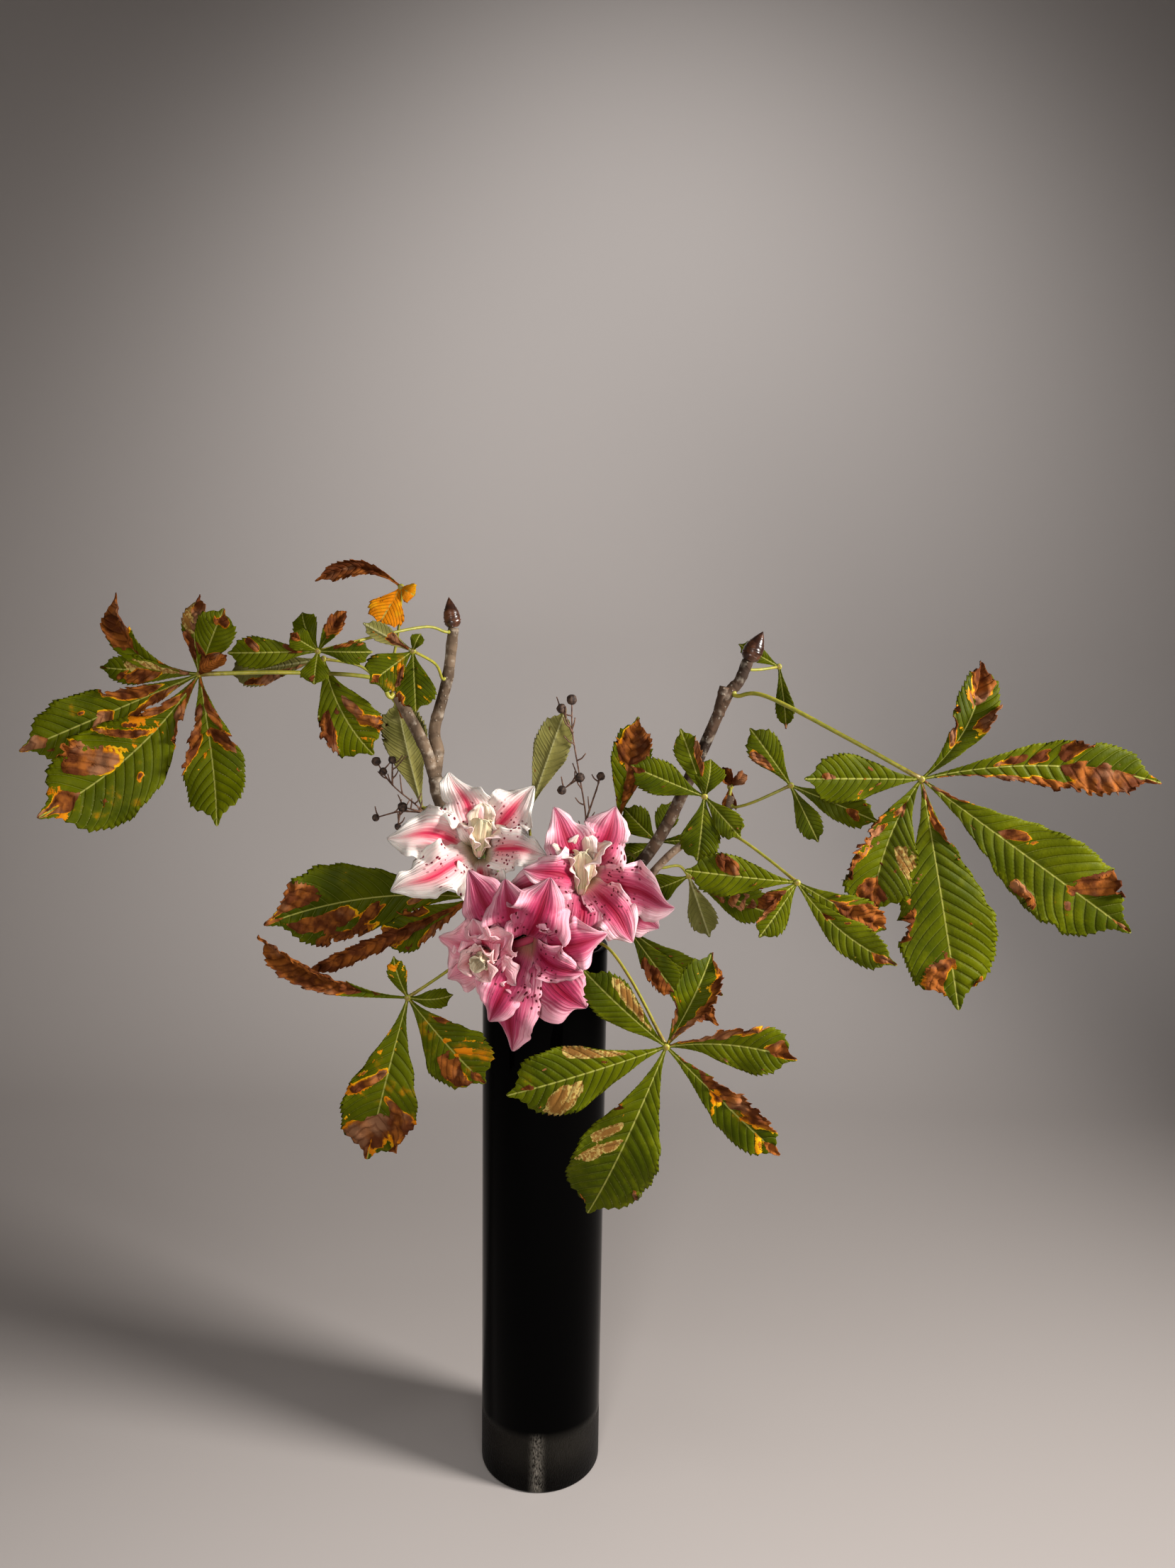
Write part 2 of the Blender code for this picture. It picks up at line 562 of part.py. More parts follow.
# ---------------------------------------------------------------- seed sprigs


def make_sprig(name, twigs, extra):
    """Thin twigs of one sprig, each a route with a round capsule of the given size at its end."""
    shapes = [tube(stem_line(route, 0.0011, 0.0008, steps=1)) for route, _ in twigs]
    capsules = [(route[-1], size) for route, size in twigs] + extra
    shapes += [ball(place, size / 2, 6, 4) for place, size in capsules]
    united(name, shapes, SEED)


def make_sprigs():
    fork, tip = (-0.112, 0.042, 0.606), (-0.140, 0.040, 0.631)
    make_sprig("seed_sprig_left",
               [(rim_stalk(-0.80, 0.60) + [(-0.070, 0.042, 0.560), fork, tip, (-0.154, 0.040, 0.652)],
                 0.0080),
                ([fork, (-0.134, 0.044, 0.606), (-0.156, 0.044, 0.600)], 0.0065),
                ([(-0.134, 0.044, 0.606), (-0.136, 0.044, 0.592)], 0.0060),
                ([fork, (-0.130, 0.034, 0.612)], 0.0085),
                ([tip, (-0.139, 0.036, 0.654)], 0.0070)], [((-0.148, 0.040, 0.643), 0.0070)])
    low, middle, high = (0.034, 0.044, 0.600), (0.028, 0.042, 0.640), (0.021, 0.040, 0.680)
    make_sprig("seed_sprig_centre",
               [(rim_stalk(0.25, 0.95) + [(0.030, 0.050, 0.560), low, middle, high,
                 (0.020, 0.040, 0.710)], 0.0090),
                ([middle, (0.012, 0.044, 0.628)], 0.0080), ([low, (0.047, 0.052, 0.640)], 0.0075),
                ([high, (0.011, 0.040, 0.702)], 0.0085)], [(middle, 0.0085)])


# ---------------------------------------------------------------- build

clear_scene()
PARTS = collection("ikebana_arrangement")
HELPERS = collection("helpers", hidden=True)
GLASS = material("black_glass", (0.01, 0.01, 0.01), 0.05)
BARK = material("bark", (0.25, 0.19, 0.14), 0.85)
BUD = material("sticky_bud", (0.10, 0.03, 0.02), 0.25)
LEAF = material("green_leaf", (0.16, 0.28, 0.05), 0.5)
PALE_LEAF = material("leaf_underside", (0.36, 0.42, 0.22), 0.6)
DRY = material("dry_leaf", (0.36, 0.16, 0.06), 0.7)
STEM = material("lily_stem", (0.24, 0.34, 0.10), 0.5)
WHITE_TEPAL = material("white_tepal", (0.85, 0.78, 0.74), 0.5)
PINK_TEPAL = material("pink_tepal", (0.75, 0.25, 0.38), 0.5)
CREAM = material("cream_heart", (0.80, 0.76, 0.55), 0.5)
SEED = material("seed_capsule", (0.14, 0.08, 0.05), 0.7)

LEFT = rooted(BRANCH_LEFT, BRANCH_RADIUS, BRANCH_RADIUS)
LEFT_FORK = stem_line(FORK_LEFT, 0.0054, 0.0050)
RIGHT_FORK = stem_line(FORK_RIGHT, 0.0056, 0.0046)
RIGHT = rooted(BRANCH_RIGHT, BRANCH_RADIUS, 0.0046)
TWIG = rooted(TWIG_RIGHT, 0.004, 0.0028)

make_vase()
make_branches()
make_bud("bud_left", RIGHT_FORK, (-0.087, 0.025, 0.798), 0.013, 0.0036)
make_bud("bud_right", RIGHT, (0.184, 0.020, 0.773), 0.016, 0.0036)
make_left_leaves()
make_low_left_leaves()
make_centre_leaves()
make_right_leaves()
make_low_right_leaves()
make_lilies()
make_sprigs()
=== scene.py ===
# %% [markdown]
# # An ikebana arrangement
# Horse-chestnut branches with autumn leaves, double lilies and dry seed sprigs stand in a tall
# black glass vase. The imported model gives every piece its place, and this lesson grows the fine
# surface over it: pleated leaves with dead patches, ruffled petals, bark, buds and glass.

# %% Load the frame
import math

import bpy
import numpy as np
from mathutils import Matrix, Vector


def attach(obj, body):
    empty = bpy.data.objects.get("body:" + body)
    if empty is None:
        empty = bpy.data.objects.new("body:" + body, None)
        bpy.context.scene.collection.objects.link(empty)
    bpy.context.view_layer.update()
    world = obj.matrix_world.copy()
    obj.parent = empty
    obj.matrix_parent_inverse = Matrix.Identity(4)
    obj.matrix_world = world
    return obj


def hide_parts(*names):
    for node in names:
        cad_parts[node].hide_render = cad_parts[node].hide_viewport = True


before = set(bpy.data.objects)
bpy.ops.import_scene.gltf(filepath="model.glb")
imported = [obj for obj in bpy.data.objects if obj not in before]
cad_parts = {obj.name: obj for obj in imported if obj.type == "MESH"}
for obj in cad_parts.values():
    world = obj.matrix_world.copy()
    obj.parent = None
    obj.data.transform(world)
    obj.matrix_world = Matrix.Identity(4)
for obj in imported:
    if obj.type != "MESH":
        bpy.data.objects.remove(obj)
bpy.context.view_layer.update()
print("nodes in the frame:", len(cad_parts))

# %% [markdown]
# ## Shader maths as expressions
# A node tree is easier to read when it is written as arithmetic. `Field` wraps one output
# socket, and each operator adds the Math node that it stands for. `Finish` owns a material and
# makes every other node through one method.

# %% The socket wrapper
class Field:
    def __init__(self, finish, socket):
        self.finish, self.socket = finish, socket

    def math(self, operation, *others):
        values = {i: value for i, value in enumerate((self, *others))}
        return self.finish.node("ShaderNodeMath", {"operation": operation}, values)

    def __add__(self, other): return self.math("ADD", other)
    def __sub__(self, other): return self.math("SUBTRACT", other)
    def __rsub__(self, other): return (self * -1.0).math("ADD", other)
    def __mul__(self, other): return self.math("MULTIPLY", other)
    def __abs__(self): return self.math("ABSOLUTE")
    __radd__, __rmul__ = __add__, __mul__

    def step(self, low, high):
        """0 below low, 1 above high, and a smooth S between them."""
        return self.finish.node("ShaderNodeMapRange", {"interpolation_type": "SMOOTHSTEP"},
                                {"Value": self, "From Min": low, "From Max": high})


class Finish:
    def __init__(self, name):
        self.material = bpy.data.materials.new(name)
        self.material.use_nodes = True
        self.tree = self.material.node_tree
        self.shader = self.tree.nodes["Principled BSDF"]
        coordinates = self.tree.nodes.new("ShaderNodeTexCoord")
        self.place = Field(self, coordinates.outputs["Object"])

    def put(self, socket, value):
        if isinstance(value, Field):
            self.tree.links.new(value.socket, socket)
        elif hasattr(socket.default_value, "__len__") and len(socket.default_value) == 4:
            socket.default_value = (*value, 1)
        else:
            socket.default_value = value

    def node(self, kind, settings, values, output=0):
        made = self.tree.nodes.new(kind)
        for key, value in settings.items():
            setattr(made, key, value)
        for key, value in values.items():
            self.put(made.inputs[key], value)
        return Field(self, made.outputs[output])

    def noise(self, scale, detail=3.0, place=None, stretch=None):
        place = place or self.place
        if stretch:
            place = self.node("ShaderNodeVectorMath", {"operation": "MULTIPLY"},
                              {0: place, 1: stretch})
        return self.node("ShaderNodeTexNoise", {},
                         {"Vector": place, "Scale": scale, "Detail": detail})

    def cells(self, scale, feature="DISTANCE_TO_EDGE", place=None):
        return self.node("ShaderNodeTexVoronoi", {"feature": feature},
                         {"Vector": place or self.place, "Scale": scale})

    def attribute(self, name):
        """The three numbers that a mesh keeps at each point under this name."""
        kept = self.node("ShaderNodeAttribute", {"attribute_name": name}, {}, "Vector")
        return [self.node("ShaderNodeSeparateXYZ", {}, {"Vector": kept}, axis) for axis in "XYZ"]

    def mix(self, share, first, second):
        made = self.tree.nodes.new("ShaderNodeMix")
        made.data_type = "RGBA"
        for key, value in (("Factor_Float", share), ("A_Color", first), ("B_Color", second)):
            self.put(next(i for i in made.inputs if i.identifier == key), value)
        return Field(self, next(o for o in made.outputs if o.identifier == "Result_Color"))

    def surface(self, bump=None, depth=0.0005, **sockets):
        for key, value in sockets.items():
            self.put(self.shader.inputs[key.replace("_", " ")], value)
        if bump is not None:
            normal = self.node("ShaderNodeBump", {}, {"Height": bump, "Distance": depth,
                                                      "Strength": 1.0})
            self.put(self.shader.inputs["Normal"], normal)
        return self.material


# %% [markdown]
# ## Surfaces as arrays
# A leaf, a petal or a stem is a grid of points worked out at once with numpy. A thin solid is
# that grid twice, once on each side, with a rim between: closed, and facing outwards.

# %% Curves and grids
def bezier(points, s):
    """Cubic Bezier: the four points weighted by (1-s)^3, 3(1-s)^2 s, 3(1-s) s^2 and s^3."""
    a, b, c, d = (np.asarray(p, float) for p in points)
    s = np.asarray(s, float)[..., None]
    return (1 - s) ** 3 * a + 3 * (1 - s) ** 2 * s * b + 3 * (1 - s) * s**2 * c + s**3 * d


def through(points, steps):
    """Catmull-Rom: a smooth curve through every point, with steps pieces to a span."""
    points = np.asarray(points, float)
    ends = np.vstack([2 * points[0] - points[1], points, 2 * points[-1] - points[-2]])
    u = (np.arange(steps) / steps)[None, :, None]
    a, b, c, d = (ends[i : len(ends) - 3 + i, None, :] for i in range(4))
    spans = 0.5 * (2 * b + (c - a) * u + (2 * a - 5 * b + 4 * c - d) * u**2
                   + (3 * b - a - 3 * c + d) * u**3)
    return np.vstack([spans.reshape(-1, 3), points[-1]])


def unit(vectors):
    return vectors / np.maximum(np.linalg.norm(vectors, axis=-1, keepdims=True), 1e-12)


def smooth(low, high, x):
    """0 below low, 1 above high, and 3x^2 - 2x^3 between them."""
    x = np.clip((np.asarray(x, float) - low) / (high - low), 0, 1)
    return x * x * (3 - 2 * x)


def bulge(s, widest):
    """sin(pi s^k): 0 at both ends and 1 at the share of the way called widest."""
    return np.maximum(np.sin(math.pi * s ** (math.log(0.5) / math.log(widest))), 0)


def ripple(x, y, seed, waves=6):
    """Soft noise between about -1 and 1: a sum of plane waves in seeded directions."""
    rng = np.random.default_rng(seed)
    angle, phase = rng.uniform(0, 2 * math.pi, (2, waves))
    pitch = rng.uniform(0.6, 1.9, waves)
    sum_ = sum(np.sin(p * (x * math.cos(a) + y * math.sin(a)) + q)
               for a, p, q in zip(angle, pitch, phase))
    return sum_ / math.sqrt(waves)


class Pile:
    """Grids gathered into one mesh, with the numbers that its points keep."""

    def __init__(self):
        self.points, self.faces, self.kinds, self.kept = [], [], [], []
        self.count = 0

    def add(self, points, faces, kinds, kept):
        self.points.append(points)
        self.faces += [tuple(f) for f in (np.asarray(faces) + self.count).tolist()]
        self.kinds += list(kinds)
        self.kept.append(kept)
        self.count += len(points)

    def shell(self, grid, half_depth, kept, top=0, under=1):
        """A grid of points made a thin solid, half_depth to each side of it."""
        rows, cols = grid.shape[:2]
        down, right = np.gradient(grid, axis=0), np.gradient(grid, axis=1)
        offset = unit(np.cross(down, right)) * np.asarray(half_depth)[..., None]
        points = np.concatenate([(grid + offset).reshape(-1, 3), (grid - offset).reshape(-1, 3)])
        index = np.arange(rows * cols).reshape(rows, cols)
        a, b, c, d = index[:-1, :-1], index[1:, :-1], index[1:, 1:], index[:-1, 1:]
        upper = np.stack([a, b, c, d], -1).reshape(-1, 4)
        lower = np.stack([d, c, b, a], -1).reshape(-1, 4) + rows * cols
        loop = np.concatenate([index[0], index[1:, -1], index[-1, -2::-1], index[-2:0:-1, 0]])
        following = np.roll(loop, -1)
        rim = np.stack([loop, following, following + rows * cols, loop + rows * cols], -1)
        faces = np.concatenate([upper, lower, rim])
        kinds = np.repeat([top, under, top], [len(upper), len(lower), len(rim)])
        flat = kept.reshape(-1, kept.shape[-1])
        self.add(points, faces, kinds, np.concatenate([flat, flat]))

    def rings(self, body, ends, kind, kept):
        """Rings of points joined by quads, and a fan about an end point to close each end."""
        rows, sides = body.shape[:2]
        before = self.count
        index = np.arange(rows * sides).reshape(rows, sides)
        turn = np.roll(index, -1, axis=1)
        quads = np.stack([index[:-1], turn[:-1], turn[1:], index[1:]], -1).reshape(-1, 4)
        self.add(np.vstack([body.reshape(-1, 3), *ends]), quads, [kind] * len(quads), kept)
        for tip, ring, way in ((rows * sides, index[0], -1), (rows * sides + 1, index[-1], 1)):
            fan = np.stack([ring, np.roll(ring, -1)][::way] + [np.full(sides, tip)], -1) + before
            self.faces += [tuple(f) for f in fan.tolist()]
            self.kinds += [kind] * sides

    def tube(self, path, radii, sides=12, kind=2, bumps=None):
        """A round stem: rings of points about a path, with a point at each end to close it."""
        path = np.asarray(path, float)
        radii = np.broadcast_to(np.asarray(radii, float), len(path))
        ahead = unit(np.gradient(path, axis=0))
        axes = np.eye(3)
        aside = axes[np.argmin(np.abs(ahead @ axes).max(axis=0))]
        first = unit(np.cross(ahead, aside))
        second = np.cross(ahead, first)
        angle = 2 * math.pi * np.arange(sides) / sides
        ring = (first[:, None] * np.cos(angle)[None, :, None]
                + second[:, None] * np.sin(angle)[None, :, None])
        share = np.linspace(0, 1, len(path))[:, None]
        size = radii[:, None] * (1 if bumps is None else bumps(share, angle[None, :]))
        size = np.broadcast_to(size, (len(path), sides))
        body = path[:, None] + ring * size[..., None]
        self.rings(body, (path[0], path[-1]), kind, self.along(path, sides))

    @staticmethod
    def along(path, sides):
        """Each point of a tube keeps its share of the way and its distance in metres."""
        share = np.linspace(0, 1, len(path))
        run = np.concatenate([[0], np.cumsum(np.linalg.norm(np.diff(path, axis=0), axis=1))])
        rows = np.stack([share, run, share * 0, share * 0, share * 0, share * 0], -1)
        return np.vstack([np.repeat(rows, sides, axis=0), rows[[0, -1]]])

    def piece(self, name, slot, node, finishes):
        mesh = bpy.data.meshes.new(name)
        mesh.from_pydata(np.concatenate(self.points).tolist(), [], self.faces)
        for finish in finishes:
            mesh.materials.append(finish)
        mesh.polygons.foreach_set("material_index", np.asarray(self.kinds, np.int32))
        mesh.polygons.foreach_set("use_smooth", np.ones(len(self.faces), bool))
        kept = np.concatenate(self.kept)
        for key, columns in (("form", kept[:, :3]), ("state", kept[:, 3:6])):
            layer = mesh.attributes.new(key, "FLOAT_VECTOR", "POINT")
            layer.data.foreach_set("vector", np.ascontiguousarray(columns, np.float32).ravel())
        mesh.update()
        piece = bpy.data.objects.new(name, mesh)
        bpy.context.scene.collection.objects.link(piece)
        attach(piece, "root")
        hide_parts(node)
        return piece


def blade_frame(origin, along, face, bend, s, roll=0.0, bow=0.0):
    """The midrib's points, with the directions ahead, across and out of the blade at each.

    The midrib is a Bezier of four (along, face) points whose middle two also move sideways by
    bow; across and out are turned about it by roll.
    """
    origin, along, face = (np.array(v, float) for v in (origin, along, face))
    side = np.cross(face, along)
    corners = [(x, y, bow if 0 < i < 3 else 0) for i, (x, y) in enumerate(bend)]
    basis = np.stack([along, face, side])
    rib = bezier(corners, s) @ basis
    ahead = unit((bezier(corners, np.minimum(s + 0.01, 1))
                  - bezier(corners, np.maximum(s - 0.01, 0))) @ basis)
    across = unit(side - ahead * (ahead @ side)[:, None])
    out = np.cross(ahead, across)
    turn = np.radians(roll) * np.ones_like(s)
    cos, sin = np.cos(turn)[:, None], np.sin(turn)[:, None]
    return origin + rib, ahead, across * cos + out * sin, out * cos - across * sin


# %% [markdown]
# ## The black glass vase
# The real vase is a cylinder of black glass with a solid foot, five centimetres deep. It is a
# profile turned about its axis: a grid whose rows follow the profile and whose columns go round.
# The body is mirror smooth. The foot is smoky and rougher, with fine scratches in its bump, and a
# painted highlight runs down its front: a bright grainy band of reflective colour set where the
# lamps' streak falls, so its shine is real reflection but its place is painted.

# %% Vase
VASE_RADIUS, VASE_HEIGHT, VASE_WALL, VASE_BASE = 0.055, 0.50, 0.006, 0.050
VASE_SIDES, ON_AXIS = 128, 0.0001
OUTER_EDGE, INNER_EDGE = 0.003, 0.004


def arc(centre, radius, start, stop, steps=7):
    """Points on a quarter or half circle, as (distance from the axis, height)."""
    angle = np.radians(np.linspace(start, stop, steps))
    return np.stack([centre[0] + radius * np.cos(angle), centre[1] + radius * np.sin(angle)], -1)


def glass_finish():
    glass = Finish("black_glass")
    sideways, height = (glass.node("ShaderNodeSeparateXYZ", {}, {"Vector": glass.place}, axis)
                        for axis in "XZ")
    foot = 1.0 - height.step(VASE_BASE - 0.002, VASE_BASE + 0.012)
    smoky = foot * height.step(0.008, 0.044)
    groove = glass.noise(1300.0, 4.0, stretch=(0.9, 0.5, 0.25))
    # painted highlight: a bright grainy band of lighter reflective colour near x = 0 on the foot;
    # it shines by real reflection, but its place is painted
    aside = (abs(sideways + 0.001) + groove * 0.010).step(0.003, 0.015)
    tone = glass.mix(foot, (0.0003, 0.0003, 0.0003), (0.005, 0.0045, 0.004))
    tone = glass.mix(smoky, tone, (0.020, 0.018, 0.015))
    tone = glass.mix(foot * (1.0 - aside) * groove.step(0.36, 0.70), tone, (0.36, 0.33, 0.28))
    return glass.surface(Base_Color=tone, Metallic=foot, Roughness=0.03 + foot * 0.34,
                         Specular_IOR_Level=0.03, Anisotropic=1.0, Anisotropic_Rotation=0.25,
                         bump=foot * groove, depth=0.0010)


def make_vase():
    inner, lip = VASE_RADIUS - VASE_WALL, VASE_WALL / 2
    wall = np.linspace(0.008, VASE_HEIGHT - 0.006, 40)
    profile = np.vstack([
        (ON_AXIS, 0), arc((VASE_RADIUS - OUTER_EDGE, OUTER_EDGE), OUTER_EDGE, -90, 0),
        np.stack([np.full(len(wall), VASE_RADIUS), wall], -1),
        arc((VASE_RADIUS - lip, VASE_HEIGHT - lip), lip, 0, 180, 13),
        arc((inner - INNER_EDGE, VASE_BASE + INNER_EDGE), INNER_EDGE, 0, -90),
        (ON_AXIS, VASE_BASE)])
    angle = 2 * math.pi * np.arange(VASE_SIDES) / VASE_SIDES
    ring = np.stack([np.cos(angle), np.sin(angle)], -1)
    heights = np.broadcast_to(profile[:, None, 1:], (len(profile), VASE_SIDES, 1))
    body = np.concatenate([profile[:, None, :1] * ring[None], heights], -1)
    kept = np.zeros((len(profile) * VASE_SIDES + 2, 6))
    vase = Pile()
    vase.rings(body, ((0, 0, 0), (0, 0, VASE_BASE)), 0, kept)
    return vase.piece("glass_vase", "black_glass", "vase", [glass_finish()])


make_vase()
print("vase turned")

# %% [markdown]
# ## Leaf finishes
# A horse-chestnut leaf in autumn is green between pale veins, with rust-brown dead patches that
# often have a yellow edge, and pale tunnels eaten by the leaf miner. Each point of a leaf keeps
# two kinds of numbers. `form` holds the place among the side veins, the distance from the
# midrib and the share of the way to the margin; `state` holds how far inside a dead patch and
# a mined patch it lies, and how far it has turned yellow. Noise in the shader tears the edges.

# %% Leaf finishes
GREEN_DARK, GREEN, GREEN_LIGHT = (0.036, 0.048, 0.0), (0.074, 0.086, 0.0), (0.128, 0.138, 0.001)
UNDER_DARK, UNDER = (0.120, 0.115, 0.026), (0.190, 0.170, 0.045)
UNDER_LIGHT = (0.290, 0.260, 0.095)
RIB, UNDER_RIB = (0.330, 0.320, 0.070), (0.34, 0.32, 0.14)
YELLOW, ORANGE = (0.660, 0.350, 0.005), (0.560, 0.170, 0.003)
RUST, UMBER, TAN = (0.250, 0.075, 0.012), (0.085, 0.022, 0.006), (0.330, 0.165, 0.085)
MINE, MINE_BROWN = (0.420, 0.310, 0.090), (0.210, 0.095, 0.020)


def leaf_finish(name, dark, middle, light, rib, roughness):
    leaf = Finish(name)
    vein_place, from_rib, edge = leaf.attribute("form")
    dead, mined, aged = leaf.attribute("state")
    broad, medium, fine = leaf.noise(14.0, 2.0), leaf.noise(70.0, 4.0), leaf.noise(420.0, 2.0)
    torn = leaf.noise(130.0, 5.0)
    net = leaf.cells(420.0)
    from_vein = abs(vein_place - vein_place.math("ROUND"))
    crease = 1.0 - from_vein.step(0.02, 0.20)
    colour = leaf.mix(broad.step(0.35, 0.65), dark, middle)
    colour = leaf.mix(medium.step(0.45, 0.75) * 0.45, colour, light)
    colour = leaf.mix(edge.step(0.75, 1.0) * medium * 0.7, colour, light)
    gold = leaf.mix((medium + aged * 0.16).step(0.40, 0.62), YELLOW, ORANGE)
    colour = leaf.mix((aged * 1.6 + (medium - 0.5) * 1.6).step(0.32, 0.80), colour, gold)
    # painted shade: the creases along the side veins are darkened in colour, as the pleats' valleys
    # would be shaded
    colour = leaf.mix(crease * 0.34, colour, dark)
    colour = leaf.mix((1.0 - from_vein.step(0.01, 0.05)) * 0.16, colour, rib)
    thread = 1.0 - from_rib.step(0.0003, 0.0009)
    colour = leaf.mix(thread * 0.8, colour, rib)
    eaten = mined + (torn - 0.5) * 1.8
    tunnel = leaf.mix(fine.step(0.40, 0.62), MINE_BROWN, MINE)
    colour = leaf.mix(eaten.step(0.0, 0.08), colour, tunnel)
    colour = leaf.mix((eaten + fine - 0.5).step(0.60, 0.95), colour, MINE_BROWN)
    died = dead + (torn - 0.5) * 1.1 + (medium - 0.5) * 1.0
    wide = leaf.noise(32.0, 2.0).step(0.46, 0.60)
    halo = (died + wide * (0.10 + aged * 3.0)).step(0.01, 0.07) * (died + 1.0).step(0.15, 0.25)
    colour = leaf.mix(halo, colour, gold)
    brown = died.step(-0.02, 0.02)
    dry = leaf.mix(medium.step(0.38, 0.60), RUST, UMBER)
    dry = leaf.mix(leaf.noise(34.0, 3.0).step(0.50, 0.68) * 0.55, dry, TAN)
    # painted shade: the creases of dry patches are darkened towards umber
    dry = leaf.mix(crease * 0.45, dry, UMBER)
    dry = leaf.mix((1.0 - died.step(0.02, 0.22)) * wide * 0.7, dry, ORANGE)
    colour = leaf.mix(brown, colour, dry)
    height = net * 0.25 + fine * 0.4 - crease * 0.8 + brown * medium * 3.0
    return leaf.surface(Base_Color=colour, Roughness=roughness + brown * 0.20,
                        Specular_IOR_Level=0.045, bump=height, depth=0.0005)


LEAF_TOP = leaf_finish("green_leaf", GREEN_DARK, GREEN, GREEN_LIGHT, RIB, 0.50)
LEAF_UNDER = leaf_finish("leaf_underside", UNDER_DARK, UNDER, UNDER_LIGHT, UNDER_RIB, 0.65)


def stalk_finish():
    stalk = Finish("leaf_stalk")
    share, _, _ = stalk.attribute("form")
    mottle = stalk.noise(260.0, 3.0)
    colour = stalk.mix(mottle.step(0.35, 0.65), (0.38, 0.33, 0.030), (0.27, 0.27, 0.025))
    knuckle = (share + (mottle - 0.5) * 0.2).step(0.90, 1.0) * 0.6
    colour = stalk.mix(knuckle, colour, (0.16, 0.06, 0.02))
    return stalk.surface(Base_Color=colour, Roughness=0.45, bump=mottle, depth=0.0002)


STALK = stalk_finish()
print("leaf finishes made")

# %% [markdown]
# ## A palmate leaf
# Five to seven leaflets spread from the end of one stalk, each widest well past its middle and
# drawn out to a point. The blade is pleated: it rises between the side veins, which leave the
# midrib at a steep slant. Its margin has small teeth that lean towards the tip. Dead patches
# shrink, so there the blade crumples and its margin rolls in.

# %% Leaflets
FRONT = np.array([0.0, -1.0, 0.0])
TOOTH, LEAFLET_WIDEST, LEAFLET_COLS = 0.0042, 0.67, 25
BLADE_HALF, RIB_HALF, RIB_SPREAD = 0.00022, 0.00055, 0.0011


def leaflet(angle, length, width, forward=0.0, arch=0.006, curl=0.004, fold=8, roll=0, bow=0.0,
            dead=(), mined=(), aged=0.0):
    """angle 0 points right and 90 up, seen from the front; forward is how far the tip comes.

    dead and mined list patches as (share along, share across, half length, half breadth).
    """
    return dict(angle=math.radians(angle), length=length, width=width, forward=forward, arch=arch,
                curl=curl, fold=fold, roll=roll, bow=bow, dead=dead, mined=mined, aged=aged)


def patch_depth(patches, s, t, slant):
    """How far inside the nearest patch: 1 at its middle, 0 at its edge, -1 far outside.

    A patch is an ellipse whose places move towards the tip away from the midrib, as veins do.
    """
    depth = np.full(np.broadcast(s, t).shape, -1.0)
    for number, (at_s, at_t, half_s, half_t) in enumerate(patches):
        along = (s - at_s - slant * (np.abs(t) - abs(at_t))) / half_s
        across = (t - at_t) / half_t
        ragged = 0.30 * ripple(along * 2.6, across * 2.6, number + int(at_s * 100))
        depth = np.maximum(depth, 1 + ragged - along**2 - across**2)
    return depth


